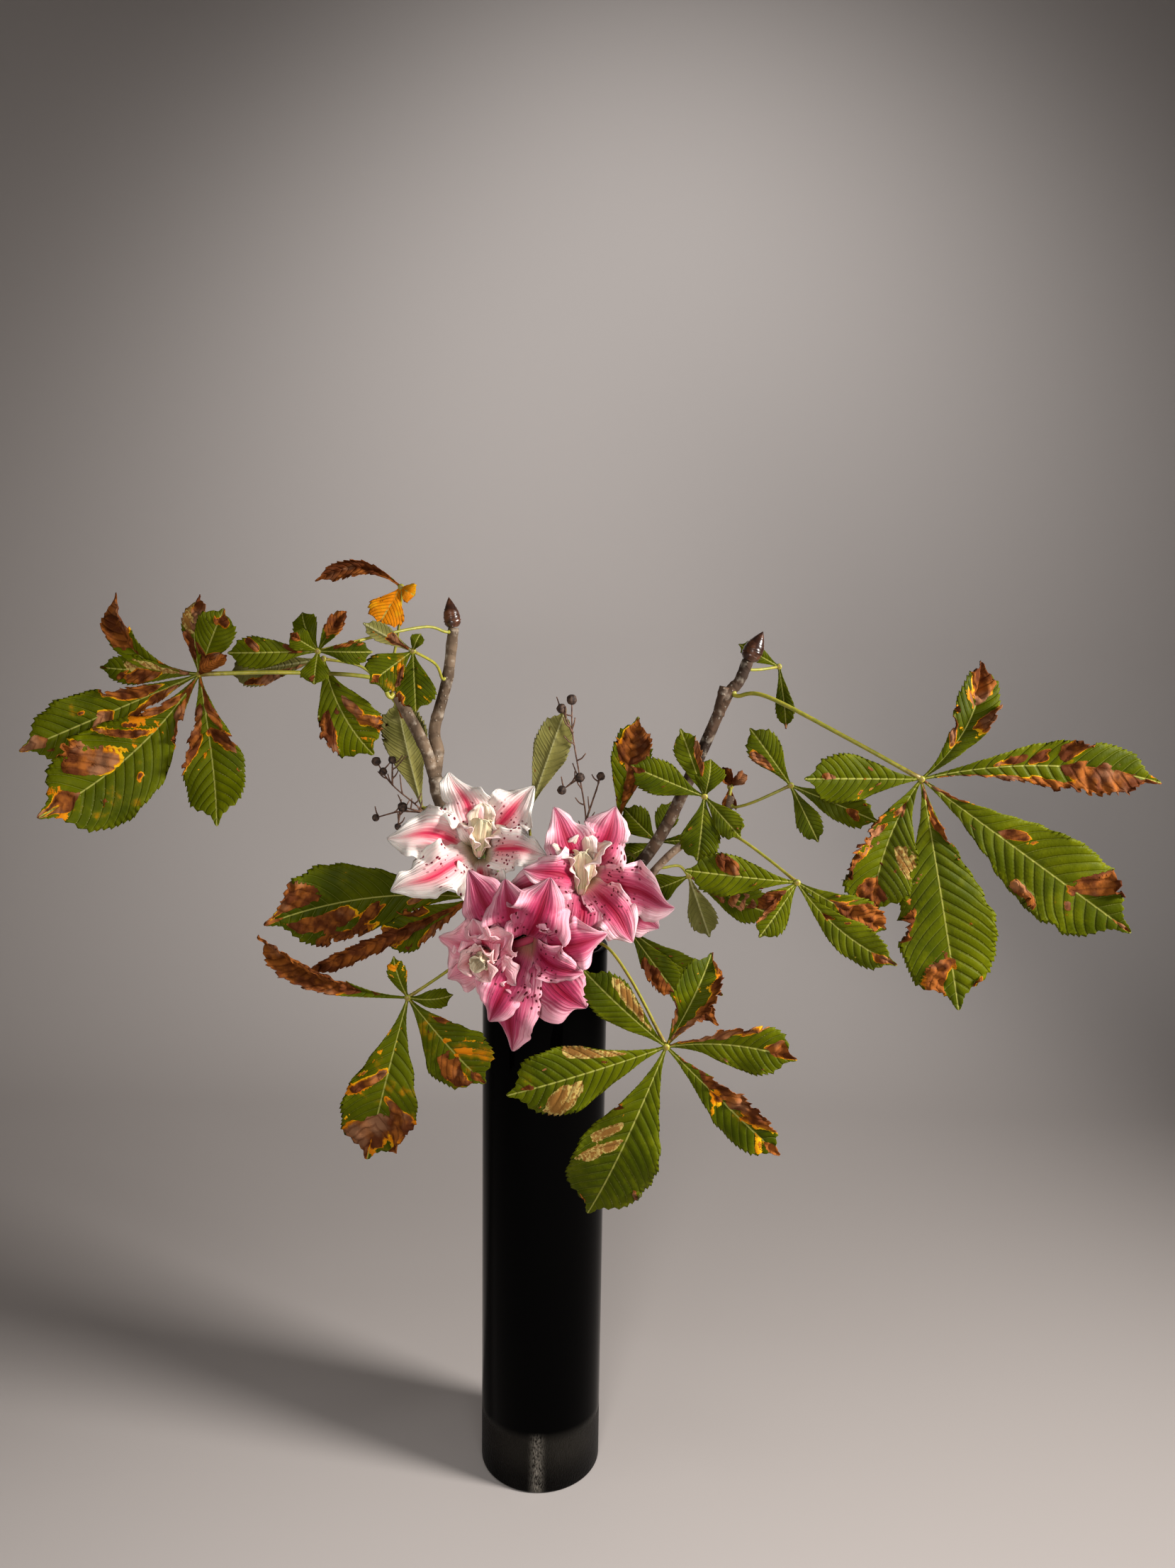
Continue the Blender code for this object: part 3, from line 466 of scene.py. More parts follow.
def add_leaflet(pile, hub, item, seed):
    """One leaflet: across runs t = -1 to 1 and along runs s = 0 to 1.

    Half width = half of (base narrowing to tip, plus width times sin(pi s^k) to a power). The
    power falls from 0.95 to 0.62 past the middle, which makes the outline blunter there, and a
    last factor draws it in to the tip. Height above the midrib = fold, less a droop in t
    squared, plus pleats |sin(pi vein place)|, plus a slow wave at the margin, plus crumples in
    dead patches.
    """
    rng = np.random.default_rng(seed)
    length, rise = item["length"], item["arch"]
    teeth = max(int(round(length / TOOTH)), 6)
    s = np.linspace(0, 1, teeth * 3 + 1)
    t = np.linspace(-1, 1, LEAFLET_COLS)[None, :]
    along = (math.cos(item["angle"]), 0, math.sin(item["angle"]))
    bend = [(0, 0), (length / 3, rise), (length * 2 / 3, rise + item["curl"]),
            (length, item["forward"])]
    rib, ahead, across, out = blade_frame(hub, along, FRONT, bend, s, item["roll"], item["bow"])
    swell = bulge(s, LEAFLET_WIDEST) ** (0.95 - 0.33 * smooth(0.55, 0.75, s))
    swell = swell * (1 - 0.70 * smooth(0.85, 0.955, s))
    half = ((0.0022 * (1 - s) + 0.0006 * s + item["width"] * 1.04 * swell) / 2)[:, None]
    s_ = s[:, None]
    away = np.abs(t)
    slant = 0.85 * item["width"] / 2 / length
    veins = 9 + 55 * length
    vein_place = veins * (s_ - (0.70 * away + 0.30 * away**3) * half / length
                          + 0.010 * ripple(s_ * 9, t * 2, seed + 2))
    specks = [(rng.uniform(0.2, 0.95), rng.choice((-1, 1)) * rng.uniform(0.3, 1.0),
               rng.uniform(0.006, 0.018), rng.uniform(0.04, 0.14)) for _ in range(4)]
    dead = np.maximum(patch_depth(item["dead"], s_, t, slant),
                      patch_depth(specks, s_, t, slant) * 0.6 - 0.15)
    mined = patch_depth(item["mined"], s_, t, slant)
    strip = np.floor(vein_place) * 2 + (t > 0)
    hop = np.modf(np.abs(np.sin(strip * 12.9898 + seed % 97)) * 43758.5453)[0] - 0.5
    dead, mined = dead + 0.9 * hop * (dead > -0.9), mined + 0.5 * hop * (mined > -0.9)
    shrunk = smooth(0.0, 0.5, dead)
    tooth = (np.arange(len(s)) % 3 - 1)[:, None] * np.minimum(half / 0.012, 1)
    reach = 1 - shrunk * 0.16 * away**3
    reach = reach + (ripple(s_ * length * 260, t * 0 + np.sign(t), seed) * 0.035
                     + shrunk * ripple(s_ * length * 700, np.sign(t), seed + 5) * 0.10) * away**4
    lift = (math.sin(math.radians(item["fold"])) * away * half - 0.16 * half * away**2
            + 0.09 * half * away**2 * np.sin(2 * math.pi * (2.6 * s_ + rng.uniform()) + np.sign(t)))
    pleat = 0.0011 * np.minimum(half / 0.02, 1.2) * np.minimum(away / 0.10, 1) * (1 - 0.5 * away**6)
    lift = lift + pleat * (np.abs(np.sin(math.pi * vein_place)) ** 0.8 - 0.6)
    lift = lift - 0.0007 * np.exp(-(away * half / 0.0016) ** 2)
    lift = lift + shrunk * (0.0022 * ripple(s_ * length * 420, away * half * 420, seed + 1)
                            + 0.30 * half * away**4)
    cos = math.cos(math.radians(item["fold"]))
    grid = (rib[:, None] + across[:, None] * (t * half * cos * reach)[..., None]
            + out[:, None] * lift[..., None]
            + across[:, None] * (0.0007 * tooth * np.sign(t) * away**10)[..., None]
            + ahead[:, None] * (0.0012 * tooth * away**10)[..., None])
    aged = np.full_like(dead, item["aged"])
    kept = np.stack([vein_place, away * half, away + 0 * dead, dead, mined, aged], -1)
    thickening = np.exp(-(away * half / RIB_SPREAD) ** 2) * (1 - 0.7 * s_)
    pile.shell(grid, BLADE_HALF + RIB_HALF * thickening, kept)


def over_rim(x, y, radius=0.0013):
    """Where a thin stalk leans on the lip of the vase, on the bearing of (x, y)."""
    reach = VASE_RADIUS - VASE_WALL - radius - 0.0004
    scale = reach / math.hypot(x, y)
    return (x * scale, y * scale, VASE_HEIGHT)


def rim_stalk(x, y, depth=0.09):
    """The hidden lower end of a stalk in the vase, up to just above its lip."""
    a, b, z = over_rim(x, y)
    return [(a * 0.6, b * 0.6, z - depth), (a * 0.93, b * 0.93, z - depth * 0.35),
            (a, b, z - 0.004), (a, b, z + 0.008)]


def beside(line, height, toward):
    """A point just off a stem's surface at a height, and the direction that leaves it squarely."""
    path, radii = line
    low = int(np.searchsorted(path[:, 2], height) - 1)
    share = (height - path[low, 2]) / (path[low + 1, 2] - path[low, 2])
    axis = unit(path[low + 1] - path[low])
    centre = path[low] * (1 - share) + path[low + 1] * share
    out = np.asarray(toward, float) - centre
    out = unit(out - axis * (out @ axis))
    return centre + out * (radii[low] * (1 - share) + radii[low + 1] * share - 0.0006), out


def make_leaf(name, hub, stalk, leaflets, slot, start=None, thick=0.00125):
    """One palmate leaf: its stalk, the knuckle at its end, and leaflets from there."""
    route = [np.array(p, float) for p in stalk] + [np.array(hub, float)]
    if start:
        foot, out = beside(*start, route[0])
        route = [foot, foot + out * 0.005] + route
    pile = Pile()
    path = through(route, 8)
    share = np.linspace(0, 1, len(path))
    flare = 0.0009 * np.exp(-share / 0.06) + 0.0007 * np.exp(-(1 - share) / 0.03)
    pile.tube(path, thick + flare, 10)
    knuckle = through([np.array(hub) + FRONT * z for z in (-0.0026, -0.001, 0.001, 0.0022)], 4)
    dome = np.sqrt(np.sin(np.linspace(0.25, math.pi - 0.25, len(knuckle))))
    pile.tube(knuckle, 0.0028 * dome, 12)
    seed = sum(map(ord, name))
    for number, item in enumerate(leaflets):
        add_leaflet(pile, hub, item, seed * 31 + number)
    pile.piece(name + "_grown", slot, name, [LEAF_TOP, LEAF_UNDER, STALK])


# %% [markdown]
# ## Where the stems run
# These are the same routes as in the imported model: a stem stands on the vase's floor, nearer
# its axis than at the mouth, and a smooth curve carries it through its places.

# %% Stem routes
SEAT_GAP, FOOT_SHARE = 0.0004, 0.55
BRANCH_LEFT = [(-0.036, 0.006, 0.50), (-0.065, 0.014, 0.565), (-0.093, 0.020, 0.617),
               (-0.099, 0.020, 0.642)]
FORK_LEFT = [(-0.099, 0.020, 0.642), (-0.107, 0.016, 0.668), (-0.117, 0.012, 0.690),
             (-0.126, 0.010, 0.707), (-0.132, 0.010, 0.719)]
FORK_RIGHT = [(-0.099, 0.020, 0.642), (-0.097, 0.024, 0.664), (-0.100, 0.025, 0.680),
              (-0.096, 0.025, 0.700), (-0.088, 0.025, 0.730), (-0.083, 0.025, 0.772)]
BRANCH_RIGHT = [(0.034, 0.014, 0.50), (0.070, 0.018, 0.550), (0.102, 0.020, 0.596),
                (0.134, 0.020, 0.667), (0.154, 0.020, 0.716), (0.165, 0.020, 0.730),
                (0.172, 0.020, 0.748)]
STUB_RIGHT = [(0.148, 0.020, 0.700), (0.153, 0.020, 0.725)]
TWIG_RIGHT = [(0.038, -0.008, 0.50), (0.070, -0.014, 0.540), (0.102, -0.020, 0.580),
              (0.121, -0.022, 0.597), (0.150, -0.022, 0.617), (0.157, -0.020, 0.636)]


def in_vase(mouth, radius):
    """The foot of a stem that stands on the vase's floor and leaves at the given mouth place."""
    x, y, z = mouth
    tilt = math.atan2(math.hypot(x, y) * (1 - FOOT_SHARE), z - VASE_BASE)
    return (x * FOOT_SHARE, y * FOOT_SHARE, VASE_BASE + SEAT_GAP + radius * math.sin(tilt))


def stem_line(points, start_radius, end_radius, steps=14):
    path = through(points, steps)
    return path, np.linspace(start_radius, end_radius, len(path))


def rooted(route, start_radius, end_radius):
    return stem_line([in_vase(route[0], start_radius)] + route, start_radius, end_radius)


LEFT = rooted(BRANCH_LEFT, 0.006, 0.006)
LEFT_FORK = stem_line(FORK_LEFT, 0.0054, 0.0050)
RIGHT_FORK = stem_line(FORK_RIGHT, 0.0056, 0.0046)
RIGHT = rooted(BRANCH_RIGHT, 0.006, 0.0046)
STUB = stem_line(STUB_RIGHT, 0.0052, 0.0050)
TWIG = rooted(TWIG_RIGHT, 0.004, 0.0028)
print("stem lines:", [len(line[0]) for line in (LEFT, LEFT_FORK, RIGHT_FORK, RIGHT, STUB, TWIG)])

# %% [markdown]
# ## Every leaf in its place
# Each call grows one leaf: its knuckle, its stalk, and its leaflets with their dead and mined
# patches. On a leaflet, patches at negative shares across lie clockwise of its midrib. The last
# entries say which stem it leaves and at what height; a leaf without them leans on the lip.

# %% Leaves on the left
ALL_DEAD = ((0.5, 0.0, 1.2, 2.5),)

make_leaf("leaf_far_left", (-0.289, -0.022, 0.732),
          [(-0.150, -0.004, 0.730), (-0.218, -0.016, 0.734)],
          [leaflet(204, 0.158, 0.048, 0.02, aged=0.08,
                   dead=[(0.97, 0, 0.15, 1.8), (0.28, 0.7, 0.16, 0.6), (0.34, -0.7, 0.16, 0.5),
                         (0.60, 0.6, 0.06, 0.8)]),
           leaflet(224, 0.164, 0.078, 0.05, arch=0.012, bow=0.014, aged=0.1,
                   dead=[(0.18, -0.6, 0.10, 0.8), (0.20, 0.7, 0.11, 0.5), (0.46, -0.5, 0.03, 0.5),
                         (0.66, -0.34, 0.10, 0.34), (0.74, -0.95, 0.06, 0.35),
                         (0.95, -0.4, 0.06, 0.9), (0.55, 0.5, 0.02, 0.08)]),
           leaflet(280, 0.123, 0.050, 0.035, aged=0.04,
                   dead=[(0.38, -0.85, 0.20, 0.5), (0.20, 0.5, 0.14, 0.5),
                         (0.47, 0.65, 0.08, 0.6)]),
           leaflet(140, 0.102, 0.024, -0.03, fold=32, bow=0.026,
                   dead=[(0.8, 0, 0.28, 2), (0.1, 0, 0.12, 1)]),
           leaflet(177, 0.083, 0.022, 0.0, dead=[(0.98, 0, 0.10, 1.5), (0.55, 0.5, 0.22, 0.6)],
                   mined=[(0.45, -0.2, 0.25, 0.6)]),
           leaflet(65, 0.060, 0.032, 0.01, dead=[(0.9, -0.5, 0.12, 0.6), (0.12, 0, 0.14, 1.2)]),
           leaflet(93, 0.064, 0.020, -0.02, dead=[(0.85, -0.6, 0.3, 0.9), (0.35, 0.5, 0.2, 0.6)],
                   mined=[(0.75, 0.5, 0.25, 0.7)]),
           leaflet(37, 0.026, 0.014, -0.01, dead=ALL_DEAD)],
          "green_leaf", (LEFT_FORK, 0.716), 0.0018)
make_leaf("leaf_near_left", (-0.183, -0.052, 0.754),
          [(-0.104, 0.006, 0.773), (-0.135, -0.022, 0.767), (-0.161, -0.042, 0.760)],
          [leaflet(182, 0.073, 0.024, 0.0, dead=[(0.70, -0.5, 0.06, 0.4), (0.22, -0.4, 0.13, 0.6)]),
           leaflet(267, 0.026, 0.021, 0.01, dead=[(0.85, -0.3, 0.08, 0.3)]),
           leaflet(115, 0.034, 0.019, -0.01),
           leaflet(144, 0.024, 0.018, 0.01, dead=[(0.9, 0, 0.3, 1)]),
           leaflet(54, 0.040, 0.016, 0.0, fold=35, dead=[(0.8, 0, 0.45, 2)]),
           leaflet(0, 0.044, 0.018, 0.0, dead=[(0.5, 0.8, 0.3, 0.4)])],
          "green_leaf", (RIGHT_FORK, 0.768))
make_leaf("leaf_near_left_back", (-0.194, 0.016, 0.744),
          [(-0.146, 0.024, 0.722), (-0.164, 0.022, 0.738)],
          [leaflet(297, 0.093, 0.052, 0.0, bow=-0.008, aged=0.06,
                   dead=[(0.52, 0.42, 0.17, 0.22), (0.60, -0.8, 0.15, 0.3),
                         (0.72, 0.7, 0.07, 0.3)]),
           leaflet(190, 0.089, 0.027, -0.02, roll=180, dead=[(0.5, -0.7, 0.3, 0.3)])],
          "green_leaf", (LEFT_FORK, 0.706))
make_leaf("leaf_fork_left", (-0.111, -0.024, 0.754), [(-0.096, 0.002, 0.742)],
          [leaflet(218, 0.042, 0.032, 0.015, aged=0.14,
                   dead=[(0.95, 0, 0.2, 1), (0.5, 0.9, 0.15, 0.3)]),
           leaflet(275, 0.049, 0.032, 0.015, aged=0.1, dead=[(0.8, -0.9, 0.1, 0.4)]),
           leaflet(149, 0.044, 0.014, 0.016, roll=180, dead=[(0.3, 0, 0.2, 0.8)]),
           leaflet(65, 0.016, 0.010, 0.0)],
          "green_leaf", (RIGHT_FORK, 0.728))
make_leaf("leaf_dry_top_left", (-0.125, 0.006, 0.806),
          [(-0.138, 0.030, 0.730), (-0.132, 0.030, 0.765), (-0.127, 0.016, 0.792)],
          [leaflet(242, 0.036, 0.029, 0.015, aged=0.9, dead=[(1.0, 0, 0.15, 1)]),
           leaflet(177, 0.068, 0.024, 0.02, fold=50, bow=-0.018, dead=ALL_DEAD),
           leaflet(330, 0.014, 0.016, 0.0, aged=0.9)],
          "dry_leaf", (LEFT_FORK, 0.712))
make_leaf("leaf_behind_left", (-0.115, 0.055, 0.607), [(-0.106, 0.048, 0.610)],
          [leaflet(103, 0.104, 0.038, -0.005, roll=180, dead=[(0.95, 0.5, 0.1, 0.5)])],
          "leaf_underside", (LEFT, 0.612))
make_leaf("leaf_low_left_large", (-0.060, -0.028, 0.546), [(-0.058, -0.014, 0.550)],
          [leaflet(186, 0.172, 0.064, 0.03, arch=0.008, bow=-0.014, aged=0.08,
                   dead=[(0.86, -0.60, 0.11, 0.50), (0.98, 0, 0.08, 1.8), (0.72, 0.40, 0.17, 0.25),
                         (0.50, 0.45, 0.05, 0.25), (0.28, 0.35, 0.04, 0.2),
                         (0.64, 0.90, 0.16, 0.15)]),
           leaflet(206, 0.092, 0.036, 0.0, aged=0.08,
                   dead=[(0.93, 0, 0.2, 1.2), (0.35, 0.75, 0.35, 0.4), (0.55, -0.8, 0.12, 0.4)]),
           leaflet(201, 0.150, 0.022, 0.060, arch=0.012, fold=45, bow=0.004, dead=ALL_DEAD)],
          "green_leaf", (LEFT, 0.548))
make_leaf("leaf_low_left_hand", (-0.106, -0.100, 0.482),
          rim_stalk(-0.62, -0.78) + [(-0.052, -0.062, 0.512), (-0.080, -0.086, 0.497)],
          [leaflet(159, 0.130, 0.026, -0.01, fold=45, bow=0.012, dead=[(0.7, 0, 0.5, 2.5)]),
           leaflet(108, 0.036, 0.014, aged=0.14), leaflet(2, 0.036, 0.015, -0.005, aged=0.06),
           leaflet(311, 0.095, 0.050, 0.0, aged=0.16,
                   dead=[(0.72, -0.45, 0.15, 0.40), (0.33, 0.85, 0.07, 0.3),
                         (0.95, -0.2, 0.08, 1.0)]),
           leaflet(256, 0.143, 0.058, 0.0, arch=0.010, aged=0.12,
                   dead=[(0.50, -0.5, 0.04, 0.5), (0.86, -0.50, 0.13, 0.80),
                         (0.72, 0.70, 0.10, 0.50)])],
          "green_leaf")

# %% Leaves in the middle
make_leaf("leaf_pale_centre", (-0.018, 0.048, 0.607),
          rim_stalk(-0.2, 0.95) + [(-0.014, 0.048, 0.550)],
          [leaflet(71, 0.100, 0.030, 0.0, roll=180)], "leaf_underside")
make_leaf("leaf_brown_centre", (0.062, 0.044, 0.597), [(0.066, 0.034, 0.580)],
          [leaflet(80, 0.100, 0.036, 0.0, fold=25, aged=0.12,
                   dead=[(0.75, -0.3, 0.4, 0.9), (0.3, -0.5, 0.3, 0.5)])],
          "dry_leaf", (RIGHT, 0.568))
make_leaf("leaf_low_centre", (0.100, 0.062, 0.578), [(0.101, 0.048, 0.586)],
          [leaflet(135, 0.045, 0.026), leaflet(72, 0.040, 0.020), leaflet(205, 0.040, 0.020),
           leaflet(8, 0.060, 0.018)],
          "green_leaf", (RIGHT, 0.592))

# %% Leaves on the right
make_leaf("leaf_far_right", (0.305, -0.060, 0.659), [(0.186, 0.000, 0.719), (0.250, -0.035, 0.688)],
          [leaflet(179, 0.098, 0.038, 0.02, dead=[(0.80, -0.1, 0.05, 0.15)], aged=0.02),
           leaflet(63, 0.107, 0.036, -0.02, fold=25, bow=-0.012, aged=0.08,
                   dead=[(0.84, 0.0, 0.16, 1.2), (0.42, 0.7, 0.07, 0.55), (0.60, -0.8, 0.09, 0.4)]),
           leaflet(0, 0.194, 0.042, 0.0, bow=0.018, aged=0.05,
                   dead=[(0.45, -1.0, 0.32, 0.40), (0.82, -0.65, 0.20, 0.80),
                         (0.36, 0.35, 0.06, 0.3), (0.48, 0.40, 0.04, 0.3),
                         (0.60, 0.70, 0.06, 0.5)]),
           leaflet(325, 0.209, 0.066, 0.02, arch=0.012,
                   dead=[(0.10, 0.6, 0.06, 0.6), (0.42, 0.35, 0.05, 0.25),
                         (0.57, -0.80, 0.08, 0.18), (0.80, 0.60, 0.05, 0.6), (0.97, 0, 0.06, 1.5)]),
           leaflet(281, 0.191, 0.076, 0.02, arch=0.012,
                   dead=[(0.15, 0.6, 0.11, 0.6), (0.60, -0.92, 0.04, 0.25),
                         (0.84, -0.50, 0.06, 0.6)]),
           leaflet(252, 0.118, 0.060, 0.01, fold=20, bow=-0.012, mined=[(0.55, 0.6, 0.12, 0.35)],
                   dead=[(0.25, -0.2, 0.05, 0.4), (0.50, -0.85, 0.20, 0.4),
                         (0.92, -0.2, 0.20, 1.1)])],
          "green_leaf", (RIGHT, 0.722), 0.0018)
make_leaf("leaf_small_right", (0.130, -0.060, 0.642), [(0.132, -0.044, 0.626)],
          [leaflet(157, 0.066, 0.028, 0.01, dead=[(0.95, 0.4, 0.1, 0.5)]),
           leaflet(111, 0.059, 0.021, 0.0, dead=[(0.6, -0.8, 0.3, 0.4)]),
           leaflet(80, 0.030, 0.024, -0.01), leaflet(313, 0.043, 0.021, 0.01),
           leaflet(265, 0.053, 0.031, 0.005)],
          "green_leaf", (TWIG, 0.604))
make_leaf("leaf_fork_right", (0.203, -0.040, 0.649), [(0.175, -0.034, 0.634)],
          [leaflet(127, 0.059, 0.025, 0.0, dead=[(0.55, 0.65, 0.22, 0.3)]),
           leaflet(340, 0.071, 0.025, 0.03, dead=[(0.6, 0.5, 0.07, 0.3), (0.75, -0.2, 0.08, 0.3)]),
           leaflet(297, 0.051, 0.019, 0.01)],
          "green_leaf", (TWIG, 0.628))
make_leaf("leaf_middle_right", (0.205, -0.078, 0.576),
          [(0.161, -0.038, 0.604), (0.183, -0.056, 0.591)],
          [leaflet(173, 0.092, 0.033, 0.01, dead=[(0.62, -0.5, 0.10, 0.4)]),
           leaflet(332, 0.087, 0.029, -0.01, dead=[(0.7, 0.2, 0.3, 0.8)]),
           leaflet(322, 0.100, 0.028, 0.02, bow=-0.010,
                   dead=[(0.92, 0, 0.12, 1), (0.35, 0.1, 0.04, 0.3)]),
           leaflet(235, 0.053, 0.023, 0.01, dead=[(0.6, -0.8, 0.4, 0.4)]),
           leaflet(214, 0.039, 0.015, 0.0, dead=[(0.7, 0, 0.4, 1)])],
          "green_leaf", (TWIG, 0.611))
make_leaf("leaf_bud_right", (0.202, 0.040, 0.742), [(0.188, 0.034, 0.740)],
          [leaflet(152, 0.041, 0.014),
           leaflet(279, 0.055, 0.015, roll=20, dead=[(0.97, 0, 0.06, 1)])],
          "leaf_underside", (RIGHT, 0.742))
make_leaf("leaf_behind_right", (0.125, 0.004, 0.560), [(0.116, 0.000, 0.570)],
          [leaflet(290, 0.055, 0.023, 0.01, roll=180),
           leaflet(337, 0.066, 0.018, 0.0, dead=ALL_DEAD), leaflet(200, 0.045, 0.025, 0.0),
           leaflet(335, 0.086, 0.030, -0.01)],
          "green_leaf", (TWIG, 0.574))
make_leaf("leaf_dry_twig", (0.157, -0.008, 0.642), [(0.157, -0.012, 0.639)],
          [leaflet(112, 0.018, 0.013, 0.0, fold=20, dead=ALL_DEAD),
           leaflet(48, 0.016, 0.012, 0.0, fold=20, dead=ALL_DEAD),
           leaflet(265, 0.020, 0.014, -0.006, fold=15, dead=ALL_DEAD)],
          "dry_leaf", (TWIG, 0.633))
make_leaf("leaf_low_right_hand", (0.098, -0.150, 0.464),
          rim_stalk(0.72, -0.70) + [(0.052, -0.070, 0.518), (0.072, -0.108, 0.502)],
          [leaflet(137, 0.087, 0.030, mined=[(0.50, -0.65, 0.28, 0.35)]),
           leaflet(65, 0.079, 0.034, -0.01, fold=20, aged=0.06,
                   dead=[(0.33, 0.8, 0.14, 0.4), (0.70, -0.95, 0.45, 0.45),
                         (0.18, -0.5, 0.10, 0.5)]),
           leaflet(357, 0.098, 0.037, 0.01, bow=0.010, aged=0.05,
                   dead=[(0.36, 0.85, 0.32, 0.5), (0.93, 0.45, 0.15, 0.8)]),
           leaflet(317, 0.121, 0.033, 0.01, aged=0.1,
                   dead=[(0.55, 0.85, 0.42, 0.8), (0.93, 0, 0.16, 2)]),
           leaflet(248, 0.154, 0.063, -0.01, arch=0.010,
                   mined=[(0.50, -0.58, 0.05, 0.3), (0.57, -0.30, 0.04, 0.25),
                          (0.64, -0.6, 0.05, 0.3)]),
           leaflet(197, 0.126, 0.050, 0.01, arch=0.008, dead=[(0.86, -0.1, 0.03, 0.15)],
                   mined=[(0.42, -0.78, 0.18, 0.25), (0.68, 0.60, 0.11, 0.4)])],
          "green_leaf")
make_leaf("leaf_low_right_back", (0.072, -0.034, 0.522), [(0.070, -0.028, 0.528)],
          [leaflet(308, 0.070, 0.027, 0.01, dead=[(0.7, -0.7, 0.4, 0.6)]),
           leaflet(325, 0.100, 0.026, 0.0, dead=[(0.95, 0, 0.1, 1)]),
           leaflet(314, 0.112, 0.025, 0.01, dead=[(0.85, 0, 0.2, 1.5)])],
          "green_leaf", (TWIG, 0.546))
print("leaves grown")

# %% [markdown]
# ## Bark, twig and buds
# Horse-chestnut wood is grey-brown and smooth, with rings where each year's bud scales fell,
# big pale scars where leaves fell, and small raised pores. The tube's radius carries the rings
# and swellings; the shader adds the pores and the flaking. The sticky buds are wound with
# overlapping scales under a gloss of resin.

# %% Bark
def bark_finish(name, dark, middle, light, roughness):
    bark = Finish(name)
    _, run, _ = bark.attribute("form")
    grain = bark.noise(55.0, 6.0, stretch=(1.0, 1.0, 0.45))
    pores = bark.cells(210.0, "F1")
    rings = ((run * 420.0 + grain * 9.0).math("SINE") * 0.5 + 0.5).step(0.7, 1.0)
    colour = bark.mix(grain.step(0.36, 0.64), dark, middle)
    colour = bark.mix(bark.noise(120.0, 4.0).step(0.50, 0.72) * 0.75, colour, light)
    colour = bark.mix(rings * 0.45, colour, dark)
    colour = bark.mix((1.0 - pores.step(0.10, 0.25)) * 0.6, colour, light)
    height = grain * 1.2 - rings * 0.5 + (1.0 - pores.step(0.10, 0.30)) * 0.8
    return bark.surface(Base_Color=colour, Roughness=roughness, Specular_IOR_Level=0.3,
                        bump=height, depth=0.0007)


BARK = bark_finish("bark", (0.060, 0.036, 0.020), (0.190, 0.128, 0.080),
                   (0.420, 0.350, 0.270), 0.85)
DARK_BARK = bark_finish("dark_bark", (0.035, 0.019, 0.011), (0.120, 0.068, 0.040),
                        (0.380, 0.320, 0.250), 0.85)
TWIG_BARK = bark_finish("smooth_twig", (0.130, 0.080, 0.048), (0.280, 0.185, 0.115),
                        (0.420, 0.320, 0.225), 0.6)


def knotted(seed, nodes, swell=0.10):
    """The radius times 1, plus a narrow swelling at each node, plus a slow unevenness."""
    def size(share, angle):
        rings = sum(swell * np.exp(-((share - at) / 0.018) ** 2) for at in nodes)
        return 1 + rings + 0.035 * ripple(share * 28, 2.2 * np.cos(angle) + np.sin(2 * angle), seed)
    return size


def make_branch(name, slot, finish, lines):
    pile = Pile()
    for number, (line, nodes) in enumerate(lines):
        pile.tube(*line, sides=24, kind=0, bumps=knotted(number + len(name), nodes))
    pile.piece(name + "_wood", slot, name, [finish])


make_branch("branch_left", "bark", BARK,
            [(LEFT, (0.72, 0.86, 0.97)), (LEFT_FORK, (0.3, 0.62, 0.95)),
             (RIGHT_FORK, (0.2, 0.55, 0.80, 0.93))])
make_branch("branch_right", "bark", DARK_BARK,
            [(RIGHT, (0.70, 0.80, 0.90, 0.95, 0.98)), (STUB, (0.3, 0.8))])
make_branch("twig_right", "smooth_twig", TWIG_BARK, [(TWIG, (0.78, 0.90, 0.97))])


def bud_finish():
    bud = Finish("sticky_bud")
    drift = bud.noise(120.0, 4.0)
    colour = bud.mix(drift.step(0.4, 0.7), (0.030, 0.010, 0.005), (0.130, 0.045, 0.018))
    return bud.surface(Base_Color=colour, Roughness=0.22 + drift * 0.2, bump=drift, depth=0.0004,
                       Coat_Weight=0.6, Coat_Roughness=0.15)


BUD = bud_finish()
SCALE_ROWS = 5


def make_bud(name, line, tip, width, neck):
    """A pointed bud: a neck that narrows to nothing, a swelling of sin(pi s^0.75)^0.9, and rows
    of scales that step the radius.

    A scale's edge stands out along a wave that alternates from row to row, as roof tiles do.
    """
    path, _ = line
    base = path[-1]
    axis = unit(np.array(tip) - base)
    lean = math.acos(min(axis @ unit(base - path[-2]), 1))
    base = base + axis * (SEAT_GAP + neck * math.sin(lean)) - axis * 0.001
    length = np.linalg.norm(np.array(tip) - base)
    s = np.linspace(0, 1, 61)

    def scales(share, angle):
        row = np.floor(share * SCALE_ROWS)
        rows = share * SCALE_ROWS + 0.22 * np.cos(2 * angle + math.pi * row)
        return 1 + 0.16 * (rows % 1) * (1 - share)

    swelling = np.sin(math.pi * s**0.75) ** 0.9
    radii = neck * (1 - s) + (width / 2 - neck / 2) * swelling * 0.93 + 0.0002
    pile = Pile()
    pile.tube(base + axis * (length * s)[:, None], radii, sides=32, kind=0, bumps=scales)
    pile.piece(name + "_scales", "sticky_bud", name, [BUD])


make_bud("bud_left", RIGHT_FORK, (-0.087, 0.025, 0.798), 0.013, 0.0036)
make_bud("bud_right", RIGHT, (0.184, 0.020, 0.773), 0.016, 0.0036)
print("wood and buds made")

# %% [markdown]
# ## Petal finishes
# A lily's tepal is deepest along its midrib and pales towards its edge. Dark spots sit on its
# inner half. One function paints all blooms: the white one has the same streak and spots on
# white, the pink ones on pink, and the hearts on cream.

